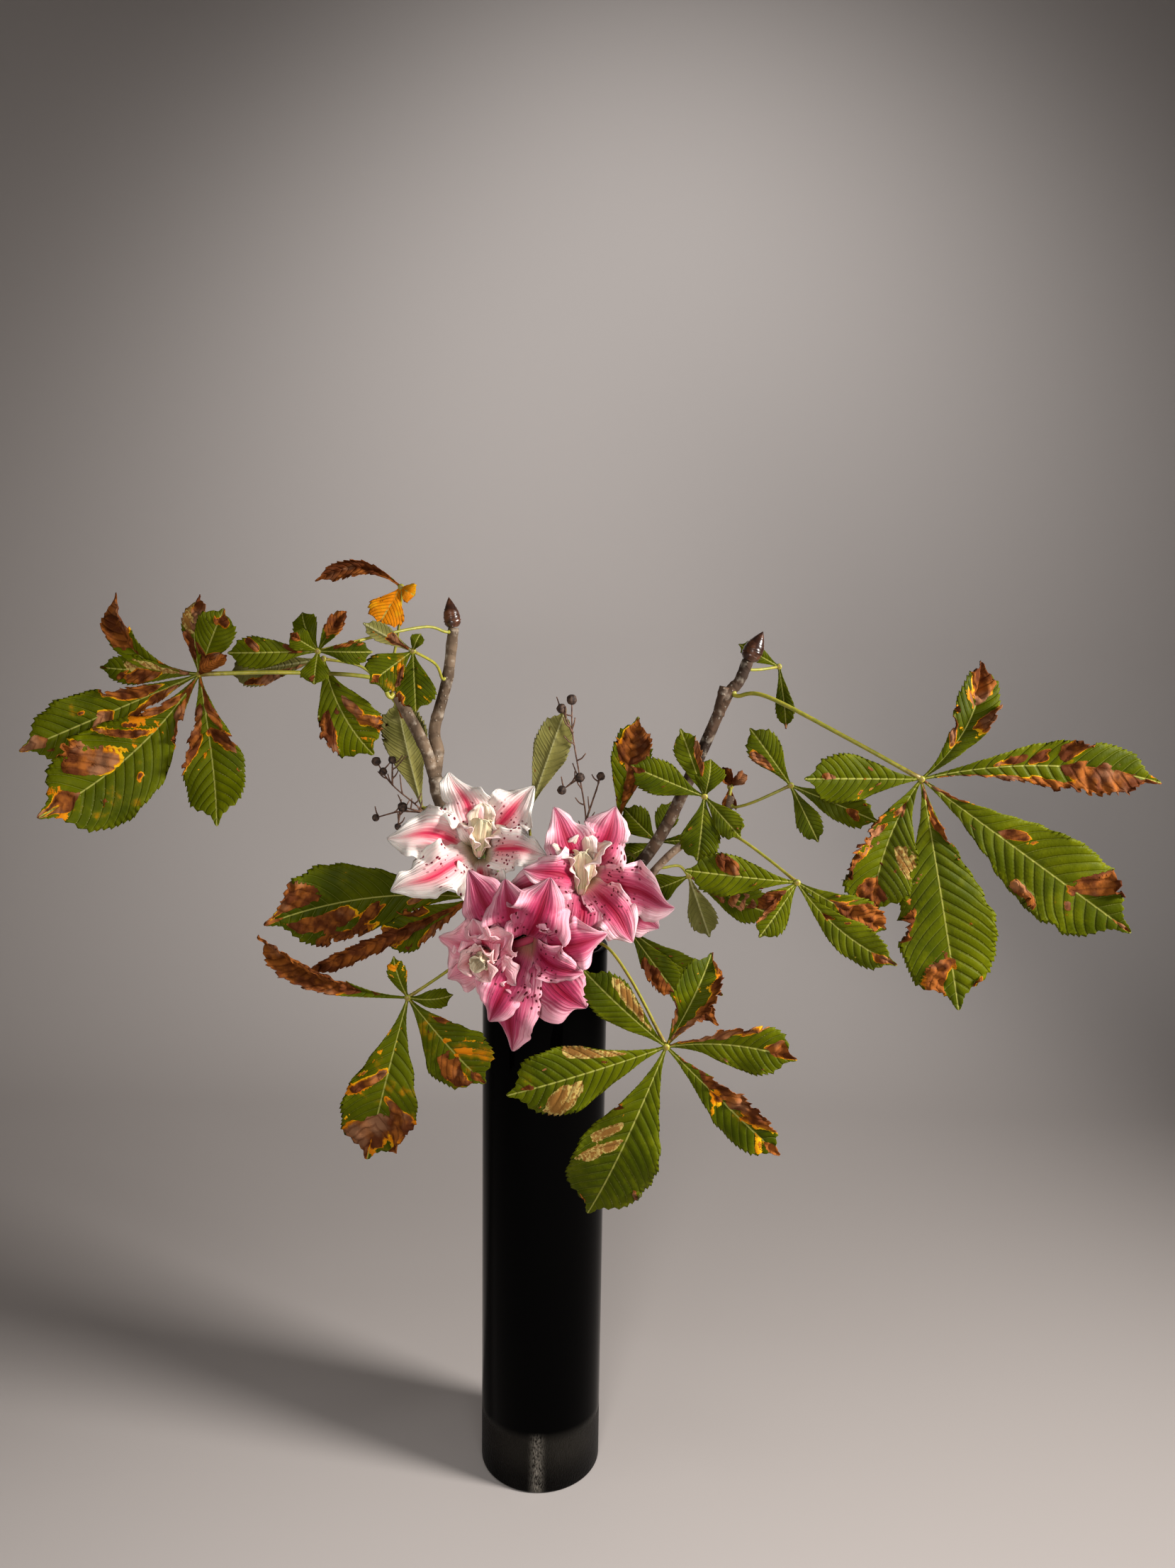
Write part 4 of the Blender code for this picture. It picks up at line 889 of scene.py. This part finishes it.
# %% Petals
def petal_finish(name, edge_colour, body, flush, streak, spot, throat, reach):
    petal = Finish(name)
    along, across, metres = petal.attribute("form")
    tone, spots, creamy = petal.attribute("state")
    lines = petal.noise(1.0, 3.0, place=petal.node(
        "ShaderNodeCombineXYZ", {}, {"X": along * 4.0, "Y": across * 14.0, "Z": tone * 90.0}))
    cloud = petal.noise(60.0, 3.0)
    away = abs(across)
    pale = away * 0.9 + (cloud - 0.5) * 0.6 + along * along * along * 0.50 + (lines - 0.5) * 0.9
    colour = petal.mix(pale.step(0.52, 1.08), body, edge_colour)
    blush = 1.0 - (away + (lines - 0.5) * 0.9).step(0.08, 0.80)
    blush = blush * (1.0 - along.step(reach, reach + 0.32))
    colour = petal.mix(blush * along.step(0.22, 0.45) * 0.9, colour, flush)
    rib = 1.0 - (away + (lines - 0.5) * 0.24).step(0.02, 0.26)
    rib = rib * (1.0 - along.step(reach + 0.05, reach + 0.40))
    colour = petal.mix(rib * along.step(0.22, 0.42), colour, streak)
    colour = petal.mix((1.0 - along.step(0.12, 0.30)) * 0.9, colour, throat)
    dots = petal.cells(1.0, "F1", petal.node("ShaderNodeCombineXYZ", {}, {
        "X": along * 19.0, "Y": metres * 270.0, "Z": tone * 30.0}))
    zone = along.step(0.28, 0.38) * (1.0 - along.step(0.62, 0.78)) * away.step(0.08, 0.22)
    colour = petal.mix((1.0 - dots.step(0.22, 0.29)) * zone * spots, colour, spot)
    veins = (across * 46.0 + along * 5.0 + lines * 3.0).math("SINE")
    colour = petal.mix((veins * 0.5 + 0.5) * 0.08, colour, flush)
    colour = petal.mix(creamy, colour, throat)
    return petal.surface(Base_Color=colour, Roughness=0.50 + cloud * 0.15, Specular_IOR_Level=0.22,
                         bump=veins * 0.15 + lines * 1.4, depth=0.0006, Subsurface_Weight=0.15,
                         Subsurface_Radius=(0.0022, 0.0011, 0.0008), Subsurface_Scale=1.0)


WHITE_PETAL = petal_finish(
    "white_tepal", (0.80, 0.745, 0.68), (0.78, 0.65, 0.60), (0.74, 0.24, 0.28),
    (0.58, 0.02, 0.07), (0.16, 0.0, 0.015), (0.62, 0.50, 0.26), 0.62)
PINK_PETAL = petal_finish(
    "pink_tepal", (0.82, 0.52, 0.56), (0.54, 0.135, 0.215), (0.42, 0.024, 0.085),
    (0.27, 0.001, 0.025), (0.08, 0.0, 0.006), (0.62, 0.50, 0.26), 0.68)
DEEP_PETAL = petal_finish(
    "deep_pink_tepal", (0.74, 0.36, 0.43), (0.45, 0.080, 0.155), (0.36, 0.014, 0.070),
    (0.22, 0.0, 0.020), (0.07, 0.0, 0.005), (0.52, 0.26, 0.16), 0.72)
HEART_PETAL = petal_finish(
    "cream_heart", (0.80, 0.60, 0.57), (0.78, 0.64, 0.50), (0.76, 0.48, 0.44),
    (0.70, 0.30, 0.32), (0.3, 0.02, 0.03), (0.70, 0.64, 0.36), 0.55)
PINK_HEART = petal_finish(
    "pink_heart", (0.78, 0.44, 0.47), (0.66, 0.25, 0.31), (0.52, 0.09, 0.16),
    (0.40, 0.02, 0.06), (0.3, 0.02, 0.03), (0.78, 0.64, 0.44), 0.55)


def lily_stem_finish():
    stem = Finish("lily_stem")
    mottle = stem.noise(90.0, 4.0, stretch=(1.0, 1.0, 0.3))
    colour = stem.mix(mottle.step(0.35, 0.65), (0.10, 0.15, 0.02), (0.22, 0.28, 0.05))
    return stem.surface(Base_Color=colour, Roughness=0.45, bump=mottle, depth=0.0003)


LILY_STEM = lily_stem_finish()
print("petal finishes made")

# %% [markdown]
# ## Double lilies
# A bloom is a ring of tepals on a small stepped seat, with narrow tepals folded round its
# middle. A tepal rises out of the throat and rolls back, its edges are ruffled, and its tip is
# drawn to a hooked point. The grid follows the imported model's curve and adds the ruffles.

# %% Lilies
RING_RADIUS, RING_LEVEL = (0.0066, 0.0049, 0.0033), (0.0005, 0.0045, 0.0085)
RECEPTACLE_LENGTH, THROAT, LILY_STEM_RADIUS = 0.0115, 0.045, 0.003
UP, PETAL_WIDEST = np.array([0.0, 0.0, 1.0]), 0.62
PETAL_HALF, GROOVE_HALF, GROOVE_SPREAD = 0.00028, 0.0004, 0.003


def tepal(clock, reach, width, back=0.0, ring=0, fold=4, roll=0, ruffle=1.0, hook=0.0, tip=0.0):
    """clock 0 points right and 90 up in the flower's face; back is how far the tip curls back.

    hook turns the tip about its midrib in degrees, and tip moves it sideways, anticlockwise.
    """
    return dict(clock=math.radians(clock), reach=reach, width=width, back=back, ring=ring,
                fold=fold, roll=roll, ruffle=ruffle, hook=hook, tip=tip)


def add_petal(pile, origin, along, face, bend, width, base, item, seed, rows=64, cols=29, tone=0.5,
              spots=1.0, creamy=0.0):
    """Half width = half of (base narrowing to tip, plus width times sin(pi s^k)^0.70).

    The edge is ruffled by three waves that grow with t^2.2 and rolls back past the middle, the
    midrib is grooved, and the tip turns by the hook angle over the last third of its length.
    """
    rng = np.random.default_rng(seed)
    s = np.linspace(0, 1, rows)
    t = np.linspace(-1, 1, cols)[None, :]
    s_, away = s[:, None], np.abs(t)
    twist = item["roll"] + item["hook"] * smooth(0.70, 1.0, s)
    twist = twist + 8 * np.sin(5 * s + rng.uniform(0, 6))
    rib, ahead, across, out = blade_frame(origin, along, face, bend, s, twist)
    sway = item["tip"] * smooth(0.55, 1.0, s) ** 1.5
    sway = sway + 0.03 * bend[-1][0] * np.sin(4 * s + rng.uniform(0, 6)) * s
    rib = rib + np.cross(face, along) * sway[:, None]
    swell = bulge(s, PETAL_WIDEST) ** 0.70 * (1 - 0.30 * smooth(0.84, 0.98, s))
    half = ((base * (1 - s) + 0.0008 * s + width * 1.14 * swell) / 2)[:, None]
    phase = rng.uniform(0, 2 * math.pi, 3)
    window = smooth(0.12, 0.40, s_) * (1 - 0.6 * smooth(0.85, 1.0, s_))
    waves = (np.sin(2 * math.pi * 2.6 * s_ + phase[0] + 1.7 * np.sign(t))
             + 0.45 * np.sin(2 * math.pi * 5.1 * s_ + phase[1] - 2.0 * np.sign(t))
             + 0.08 * np.sin(2 * math.pi * 11.0 * s_ + phase[2]))
    lift = math.sin(math.radians(item["fold"])) * away * half
    lift = lift + item["ruffle"] * window * away**2.2 * waves * half * 0.40
    lift = lift - 0.0011 * window * np.exp(-(away * half / 0.0022) ** 2)
    lift = lift - 0.30 * half * away**3 * smooth(0.45, 0.9, s_)
    lift = lift + 0.00035 * window * np.sin(away * 16 + 2 * s_)
    edge = 1 + away**3 * (0.10 * ripple(s_ * 16, np.sign(t) * 2, seed + 3)
                          + 0.05 * ripple(s_ * 45, np.sign(t) * 2, seed + 4)) * item["ruffle"]
    cos = math.cos(math.radians(item["fold"]))
    grid = (rib[:, None] + across[:, None] * (t * half * cos * edge)[..., None]
            + out[:, None] * lift[..., None])
    blank = 0 * (s_ + t)
    kept = np.stack([s_ + blank, t + blank, t * half + blank, blank + tone, blank + spots,
                     blank + creamy], -1)
    thickening = np.exp(-(away * half / GROOVE_SPREAD) ** 2) * (1 - s_)
    pile.shell(grid, PETAL_HALF + GROOVE_HALF * thickening, kept, 0, 0)


def bloom_axes(facing):
    facing = unit(np.array(facing, float))
    upward = unit(UP - facing * (UP @ facing))
    return facing, upward, np.cross(upward, facing)


def make_lily(name, centre, facing, stem, tepals, heart, finish, slot):
    facing, upward, rightward = bloom_axes(facing)
    seat = np.array(centre) - facing * THROAT
    route = stem + [tuple(seat - facing * 0.016), tuple(seat - facing * 0.006)]
    pile = Pile()
    pile.tube(*rooted(route, LILY_STEM_RADIUS, LILY_STEM_RADIUS), sides=16, kind=0)
    seat_run = np.array([-0.008, -0.004, 0.0, 0.004, 0.008, RECEPTACLE_LENGTH])
    seat_size = np.array([0.0032, 0.0048, 0.0056, 0.0040, 0.0024, 0.0018])
    run = np.linspace(seat_run[0], seat_run[-1], 24)
    pile.tube(seat + facing * run[:, None], np.interp(run, seat_run, seat_size), sides=16, kind=0)
    pile.piece(name + "_stalk", "lily_stem", name + "_stem", [LILY_STEM])
    for number, item in enumerate(tepals, 1):
        along = rightward * math.cos(item["clock"]) + upward * math.sin(item["clock"])
        ring, reach = item["ring"], item["reach"]
        rise = 0.006 * ring
        bend = [(RING_RADIUS[ring], RING_LEVEL[ring]),
                (RING_RADIUS[ring] * 1.9, THROAT * 0.72 + rise),
                (reach * 0.50, THROAT * 1.28 + rise),
                (reach, THROAT * 0.95 + rise - item["back"])]
        petal = Pile()
        seed = sum(map(ord, name)) + number * 7
        add_petal(petal, seat, along, facing, bend, item["width"], 0.0110 - 0.0020 * ring, item,
                  seed, tone=number / 9)
        petal.piece(f"{name}_petal_{number}", slot, f"{name}_tepal_{number}", [finish])
    make_heart(name, seat, facing, upward, rightward, *heart)


def make_heart(name, seat, facing, upward, rightward, knob, axis, length, folded, finish):
    """The inner bloom: a thick cream stalk with the listed tepals folded round its end.

    knob is the stalk's end and axis the way it points, as (rightward, upward, forward); each
    tepal is (clock, reach, height share, width, fold, ruffle, share of cream).
    """
    basis = np.stack([rightward, upward, facing])
    start = seat + facing * (RECEPTACLE_LENGTH + SEAT_GAP)
    knob = start + np.array(knob) @ basis
    axis = unit(np.array(axis, float) @ basis)
    pile = Pile()
    route = through([start, start + facing * 0.004, start + facing * 0.008, knob,
                     knob + axis * 0.004], 6)
    pile.tube(route, np.linspace(0.0022, 0.0042, len(route)), 14, 0)
    pile.kept[-1][:] = (0.5, 0.1, 0, 0, 0, 0.3 if finish is HEART_PETAL else 0.0)
    first = unit(upward - axis * (upward @ axis))
    second = np.cross(axis, first)
    for number, (clock, reach, height, width, fold, ruffle, creamy) in enumerate(folded):
        turn = math.radians(clock - 90)
        along = first * math.cos(turn) + second * math.sin(turn)
        tall = length * height
        bend = [(0.002, -0.002), (0.007, tall * 0.35), (0.003 + reach * 0.25, tall * 0.95),
                (reach, tall)]
        add_petal(pile, knob, along, axis, bend, width, 0.008,
                  tepal(clock, reach, width, fold=fold, ruffle=ruffle), 40 + number * 3 + len(name),
                  rows=40, cols=21, tone=number / 9, spots=0.0, creamy=creamy)
    pile.piece(name + "_folds", "cream_heart", name + "_heart", [finish])


WHITE_FOLDS = [(245, 0.006, 1.00, 0.017, 38, 0.1, 0.7), (300, 0.006, 0.95, 0.017, 38, 0.1, 0.7),
               (180, 0.018, 0.80, 0.015, 15, 0.9, 0.0), (0, 0.020, 0.75, 0.015, 15, 0.9, 0.0),
               (90, 0.006, 1.25, 0.018, 20, 0.6, 0.2), (140, 0.003, 0.9, 0.010, 40, 0.3, 0.9)]
PINK_FOLDS = [(240, 0.005, 0.92, 0.019, 38, 0.1, 0.6), (300, 0.005, 0.92, 0.019, 38, 0.1, 0.6),
              (180, 0.024, 1.00, 0.019, 12, 0.8, 0.0), (0, 0.024, 1.02, 0.019, 12, 0.8, 0.0),
              (90, 0.008, 1.10, 0.024, 20, 0.8, 0.0), (270, 0.003, 0.80, 0.014, 30, 0.1, 0.7)]
LOW_FOLDS = [(100, 0.034, 0.55, 0.028, 8, 1.2, 0.0), (45, 0.035, 0.45, 0.025, 8, 1.2, 0.0),
             (160, 0.040, 0.50, 0.030, 8, 1.2, 0.0), (215, 0.040, 0.40, 0.030, 8, 1.2, 0.0),
             (270, 0.036, 0.40, 0.027, 8, 1.2, 0.0), (325, 0.033, 0.40, 0.025, 8, 1.2, 0.0),
             (75, 0.017, 0.95, 0.018, 20, 0.9, 0.2), (195, 0.017, 0.95, 0.018, 20, 0.9, 0.2),
             (310, 0.017, 0.90, 0.018, 20, 0.9, 0.2), (20, 0.007, 0.95, 0.013, 35, 0.6, 1.0),
             (140, 0.007, 0.95, 0.013, 35, 0.6, 1.0), (260, 0.007, 0.95, 0.013, 35, 0.6, 1.0)]

make_lily("lily_white", (-0.053, -0.066, 0.599), (0.05, -0.93, 0.30),
          [(-0.014, 0.004, 0.50), (-0.034, 0.006, 0.545)],
          [tepal(102, 0.066, 0.031, 0.010, ring=1, hook=25, tip=0.010),
           tepal(45, 0.068, 0.034, 0.004, hook=-25, tip=0.004),
           tepal(355, 0.056, 0.029, 0.000, ring=1, tip=-0.004),
           tepal(277, 0.064, 0.029, -0.012, tip=-0.004),
           tepal(215, 0.078, 0.034, 0.002, ring=1, hook=20, tip=-0.012),
           tepal(166, 0.074, 0.036, 0.004, hook=15, tip=0.010)],
          ((0.000, -0.004, 0.016), (0.10, 0.85, 0.60), 0.035, WHITE_FOLDS, HEART_PETAL),
          WHITE_PETAL, "white_tepal")
make_lily("lily_pink", (0.038, -0.070, 0.571), (0.25, -0.95, 0.10),
          [(0.012, -0.010, 0.50), (0.016, -0.004, 0.540)],
          [tepal(117, 0.068, 0.034, 0.010, ring=1, tip=-0.004),
           tepal(66, 0.066, 0.034, 0.004, tip=0.004),
           tepal(352, 0.074, 0.034, 0.000, ring=1, hook=-50, tip=-0.012),
           tepal(310, 0.059, 0.030, 0.000, ring=2, tip=-0.004), tepal(324, 0.080, 0.034, 0.020),
           tepal(255, 0.062, 0.032, 0.000, ring=1, tip=0.004),
           tepal(180, 0.072, 0.034, 0.010, tip=0.008),
           tepal(160, 0.058, 0.030, 0.004, ring=2, tip=0.004)],
          ((-0.004, -0.008, 0.020), (-0.10, 0.90, 0.50), 0.047, PINK_FOLDS, HEART_PETAL),
          PINK_PETAL, "pink_tepal")
make_lily("lily_low", (-0.012, -0.110, 0.524), (-0.05, -0.95, -0.10),
          [(-0.006, -0.024, 0.50), (-0.007, -0.034, 0.521)],
          [tepal(131, 0.077, 0.037, 0.012, tip=-0.004), tepal(104, 0.062, 0.038, 0.006, ring=1),
           tepal(73, 0.066, 0.042, 0.010, ring=2, ruffle=1.6),
           tepal(12, 0.066, 0.034, 0.010, ring=1, ruffle=1.4),
           tepal(345, 0.048, 0.022, 0.000, ring=2), tepal(310, 0.072, 0.044, 0.014, ruffle=1.5),
           tepal(256, 0.088, 0.036, 0.008, ring=1, hook=60, tip=0.008),
           tepal(243, 0.062, 0.030, 0.000, ring=2)],
          ((-0.029, -0.004, 0.026), (-0.30, -0.02, 1.0), 0.026, LOW_FOLDS, PINK_HEART), DEEP_PETAL,
          "pink_tepal")
print("lilies made")

# %% [markdown]
# ## Seed sprigs
# Dry sprigs carry round, wrinkled capsules on wiry twigs, with short bare twigs where others
# have dropped. A capsule is a sphere whose radius ripples.

# %% Sprigs
def seed_finish():
    seed = Finish("seed_capsule")
    grain = seed.noise(300.0, 4.0)
    capsule = seed.attribute("state")[0]
    colour = seed.mix(grain.step(0.35, 0.65), (0.080, 0.032, 0.018), (0.190, 0.095, 0.055))
    colour = seed.mix(capsule, colour, seed.mix(grain.step(0.40, 0.65), (0.018, 0.008, 0.005),
                                                (0.100, 0.055, 0.034)))
    return seed.surface(Base_Color=colour, Roughness=0.75, bump=grain, depth=0.0006)


SEED = seed_finish()
SPURS_FROM = 0.58


def add_capsule(pile, place, size, seed):
    """Radius = half the size times the sine of the way down to the power 0.75, with ribs."""
    s = np.linspace(0.02, 0.98, 17)
    heights = -np.cos(math.pi * s) * size / 2
    path = np.array(place) + np.stack([0 * s, -0.1 * heights, heights], -1)
    pile.tube(path, size / 2 * np.sin(math.pi * s) ** 0.75, 16, 0,
              lambda share, angle: 1 + 0.07 * np.cos(5 * angle + seed) + 0.05 * ripple(
                  share * 14, 3 * np.cos(angle), seed))
    pile.kept[-1][:, 3] = 1.0


def make_sprig(name, twigs, extra, seed):
    """Each twig ends in a capsule and bears short bare spurs; extra lists capsules beside them."""
    rng = np.random.default_rng(seed)
    pile = Pile()
    for route, size in twigs:
        path = through(route, 8)
        pile.tube(path, np.linspace(0.0010, 0.0006, len(path)), 8, 0)
        add_capsule(pile, route[-1], size, seed + len(route))
        for at in np.linspace(0.35, 0.95, 14 if len(route) > 3 else 3):
            spot = path[int(at * (len(path) - 1))]
            if spot[2] < SPURS_FROM:
                continue
            side = np.array([rng.uniform(-1, 1), rng.uniform(-0.4, 0.4), rng.uniform(0.1, 1)])
            spur = [spot, spot + unit(side) * 0.005,
                    spot + unit(side + 0.3 * UP) * rng.uniform(0.008, 0.018)]
            pile.tube(through(spur, 3), np.linspace(0.0008, 0.0005, 7), 6, 0)
    for place, size in extra:
        add_capsule(pile, place, size, seed)
    pile.piece(name + "_capsules", "seed_capsule", name, [SEED])


fork, tip = (-0.112, 0.042, 0.606), (-0.140, 0.040, 0.631)
make_sprig("seed_sprig_left",
           [(rim_stalk(-0.80, 0.60) + [(-0.070, 0.042, 0.560), fork, tip, (-0.154, 0.040, 0.652)],
             0.0080),
            ([fork, (-0.134, 0.044, 0.606), (-0.156, 0.044, 0.600)], 0.0065),
            ([(-0.134, 0.044, 0.606), (-0.136, 0.044, 0.592)], 0.0060),
            ([fork, (-0.130, 0.034, 0.612)], 0.0085), ([tip, (-0.139, 0.036, 0.654)], 0.0070)],
           [((-0.148, 0.040, 0.643), 0.0070)], 3)
low, middle, high = (0.034, 0.044, 0.600), (0.028, 0.042, 0.640), (0.021, 0.040, 0.680)
make_sprig("seed_sprig_centre",
           [(rim_stalk(0.25, 0.95)
             + [(0.030, 0.050, 0.560), low, middle, high, (0.020, 0.040, 0.710)],
             0.0090),
            ([middle, (0.012, 0.044, 0.628)], 0.0080), ([low, (0.047, 0.052, 0.640)], 0.0075),
            ([high, (0.011, 0.040, 0.702)], 0.0085)],
           [(middle, 0.0085)], 8)
print("sprigs made")

# %% [markdown]
# ## Floor, light and camera
# A pale floor sweeps up into a backdrop. A soft light from the right lays the shadow to the
# left, and a second one near the camera fills the front. Two round pools of light brighten the
# floor and the backdrop. The camera stands a metre away.

# %% Studio
FLOOR_NEAR, FLOOR_FAR, SWEEP_RADIUS, WALL_TOP, HALF_WIDTH = -3.0, 0.75, 0.7, 4.0, 4.0
PAPER, LAMP_COLOUR = (0.40, 0.364, 0.345), (1.0, 0.97, 0.94)
AIR_COLOUR, AIR_STRENGTH = (0.95, 0.93, 0.92, 1), 0.05
LENS_MM, SENSOR_MM = 27.0, 36.0


def make_studio():
    turn = np.linspace(0, math.pi / 2, 24)
    curve = np.stack([FLOOR_FAR + SWEEP_RADIUS * np.sin(turn),
                      SWEEP_RADIUS - SWEEP_RADIUS * np.cos(turn)], -1)
    profile = np.vstack([[(FLOOR_NEAR, 0.0)], curve, [(FLOOR_FAR + SWEEP_RADIUS, WALL_TOP)]])
    points = np.array([(x, y, z) for y, z in profile for x in (-HALF_WIDTH, HALF_WIDTH)])
    faces = [(2 * i, 2 * i + 1, 2 * i + 3, 2 * i + 2) for i in range(len(profile) - 1)]
    mesh = bpy.data.meshes.new("sweep")
    mesh.from_pydata(points.tolist(), [], faces)
    mesh.polygons.foreach_set("use_smooth", np.ones(len(faces), bool))
    paper = Finish("backdrop_paper")
    mesh.materials.append(paper.surface(Base_Color=PAPER, Roughness=0.9, Specular_IOR_Level=0.1))
    sweep = bpy.data.objects.new("sweep", mesh)
    bpy.context.scene.collection.objects.link(sweep)


def area_light(name, place, target, size, power, spread=180):
    light = bpy.data.lights.new(name, "AREA")
    light.shape, light.size, light.energy, light.color = "DISK", size, power, LAMP_COLOUR
    light.spread = math.radians(spread)
    aim(bpy.data.objects.new(name, light), place, target)


def aim(lamp, place, target):
    lamp.location = place
    lamp.rotation_mode = "QUATERNION"
    lamp.rotation_quaternion = (Vector(target) - Vector(place)).to_track_quat("-Z", "Y")
    bpy.context.scene.collection.objects.link(lamp)


def spot_light(name, place, target, cone, power):
    """A round pool of light, bright at its middle and fading to its edge."""
    light = bpy.data.lights.new(name, "SPOT")
    light.spot_size, light.spot_blend, light.energy = math.radians(cone), 1.0, power
    light.shadow_soft_size = 0.25
    aim(bpy.data.objects.new(name, light), place, target)


def make_camera(place, pitch, roll):
    """Looks along +Y, tipped down by pitch and turned about its own axis by roll, in degrees."""
    pitch, roll = math.radians(pitch), math.radians(roll)
    upward = Vector((0, math.sin(pitch), math.cos(pitch)))
    sideways = Vector((1, 0, 0))
    right = sideways * math.cos(roll) + upward * math.sin(roll)
    up = upward * math.cos(roll) - sideways * math.sin(roll)
    camera = bpy.data.objects.new("camera", bpy.data.cameras.new("camera"))
    camera.data.lens, camera.data.sensor_width = LENS_MM, SENSOR_MM
    turned = Matrix((right, up, right.cross(up))).transposed().to_4x4()
    camera.matrix_world = Matrix.Translation(place) @ turned
    bpy.context.scene.collection.objects.link(camera)
    bpy.context.scene.camera = camera


make_studio()
area_light("right_softbox", (1.55, -0.58, 1.15), (-0.15, -0.20, 0.30), 0.5, 20, spread=100)
area_light("front_softbox", (-0.25, -1.9, 0.95), (0.0, 0.0, 0.55), 0.5, 17)
spot_light("floor_pool", (0.05, -0.80, 1.6), (-0.08, -0.56, 0.0), 52, 38)
spot_light("backdrop_glow", (0.12, 0.0, 1.9), (0.18, 1.45, 0.94), 94, 95)
world = bpy.data.worlds.new("studio_air")
world.use_nodes = True
world.node_tree.nodes["Background"].inputs["Color"].default_value = AIR_COLOUR
world.node_tree.nodes["Background"].inputs["Strength"].default_value = AIR_STRENGTH
bpy.context.scene.world = world
bpy.context.scene.view_settings.view_transform = "Standard"
make_camera((0.035, -1.0, 0.803), 9.2, 0.9)
print("studio lit")
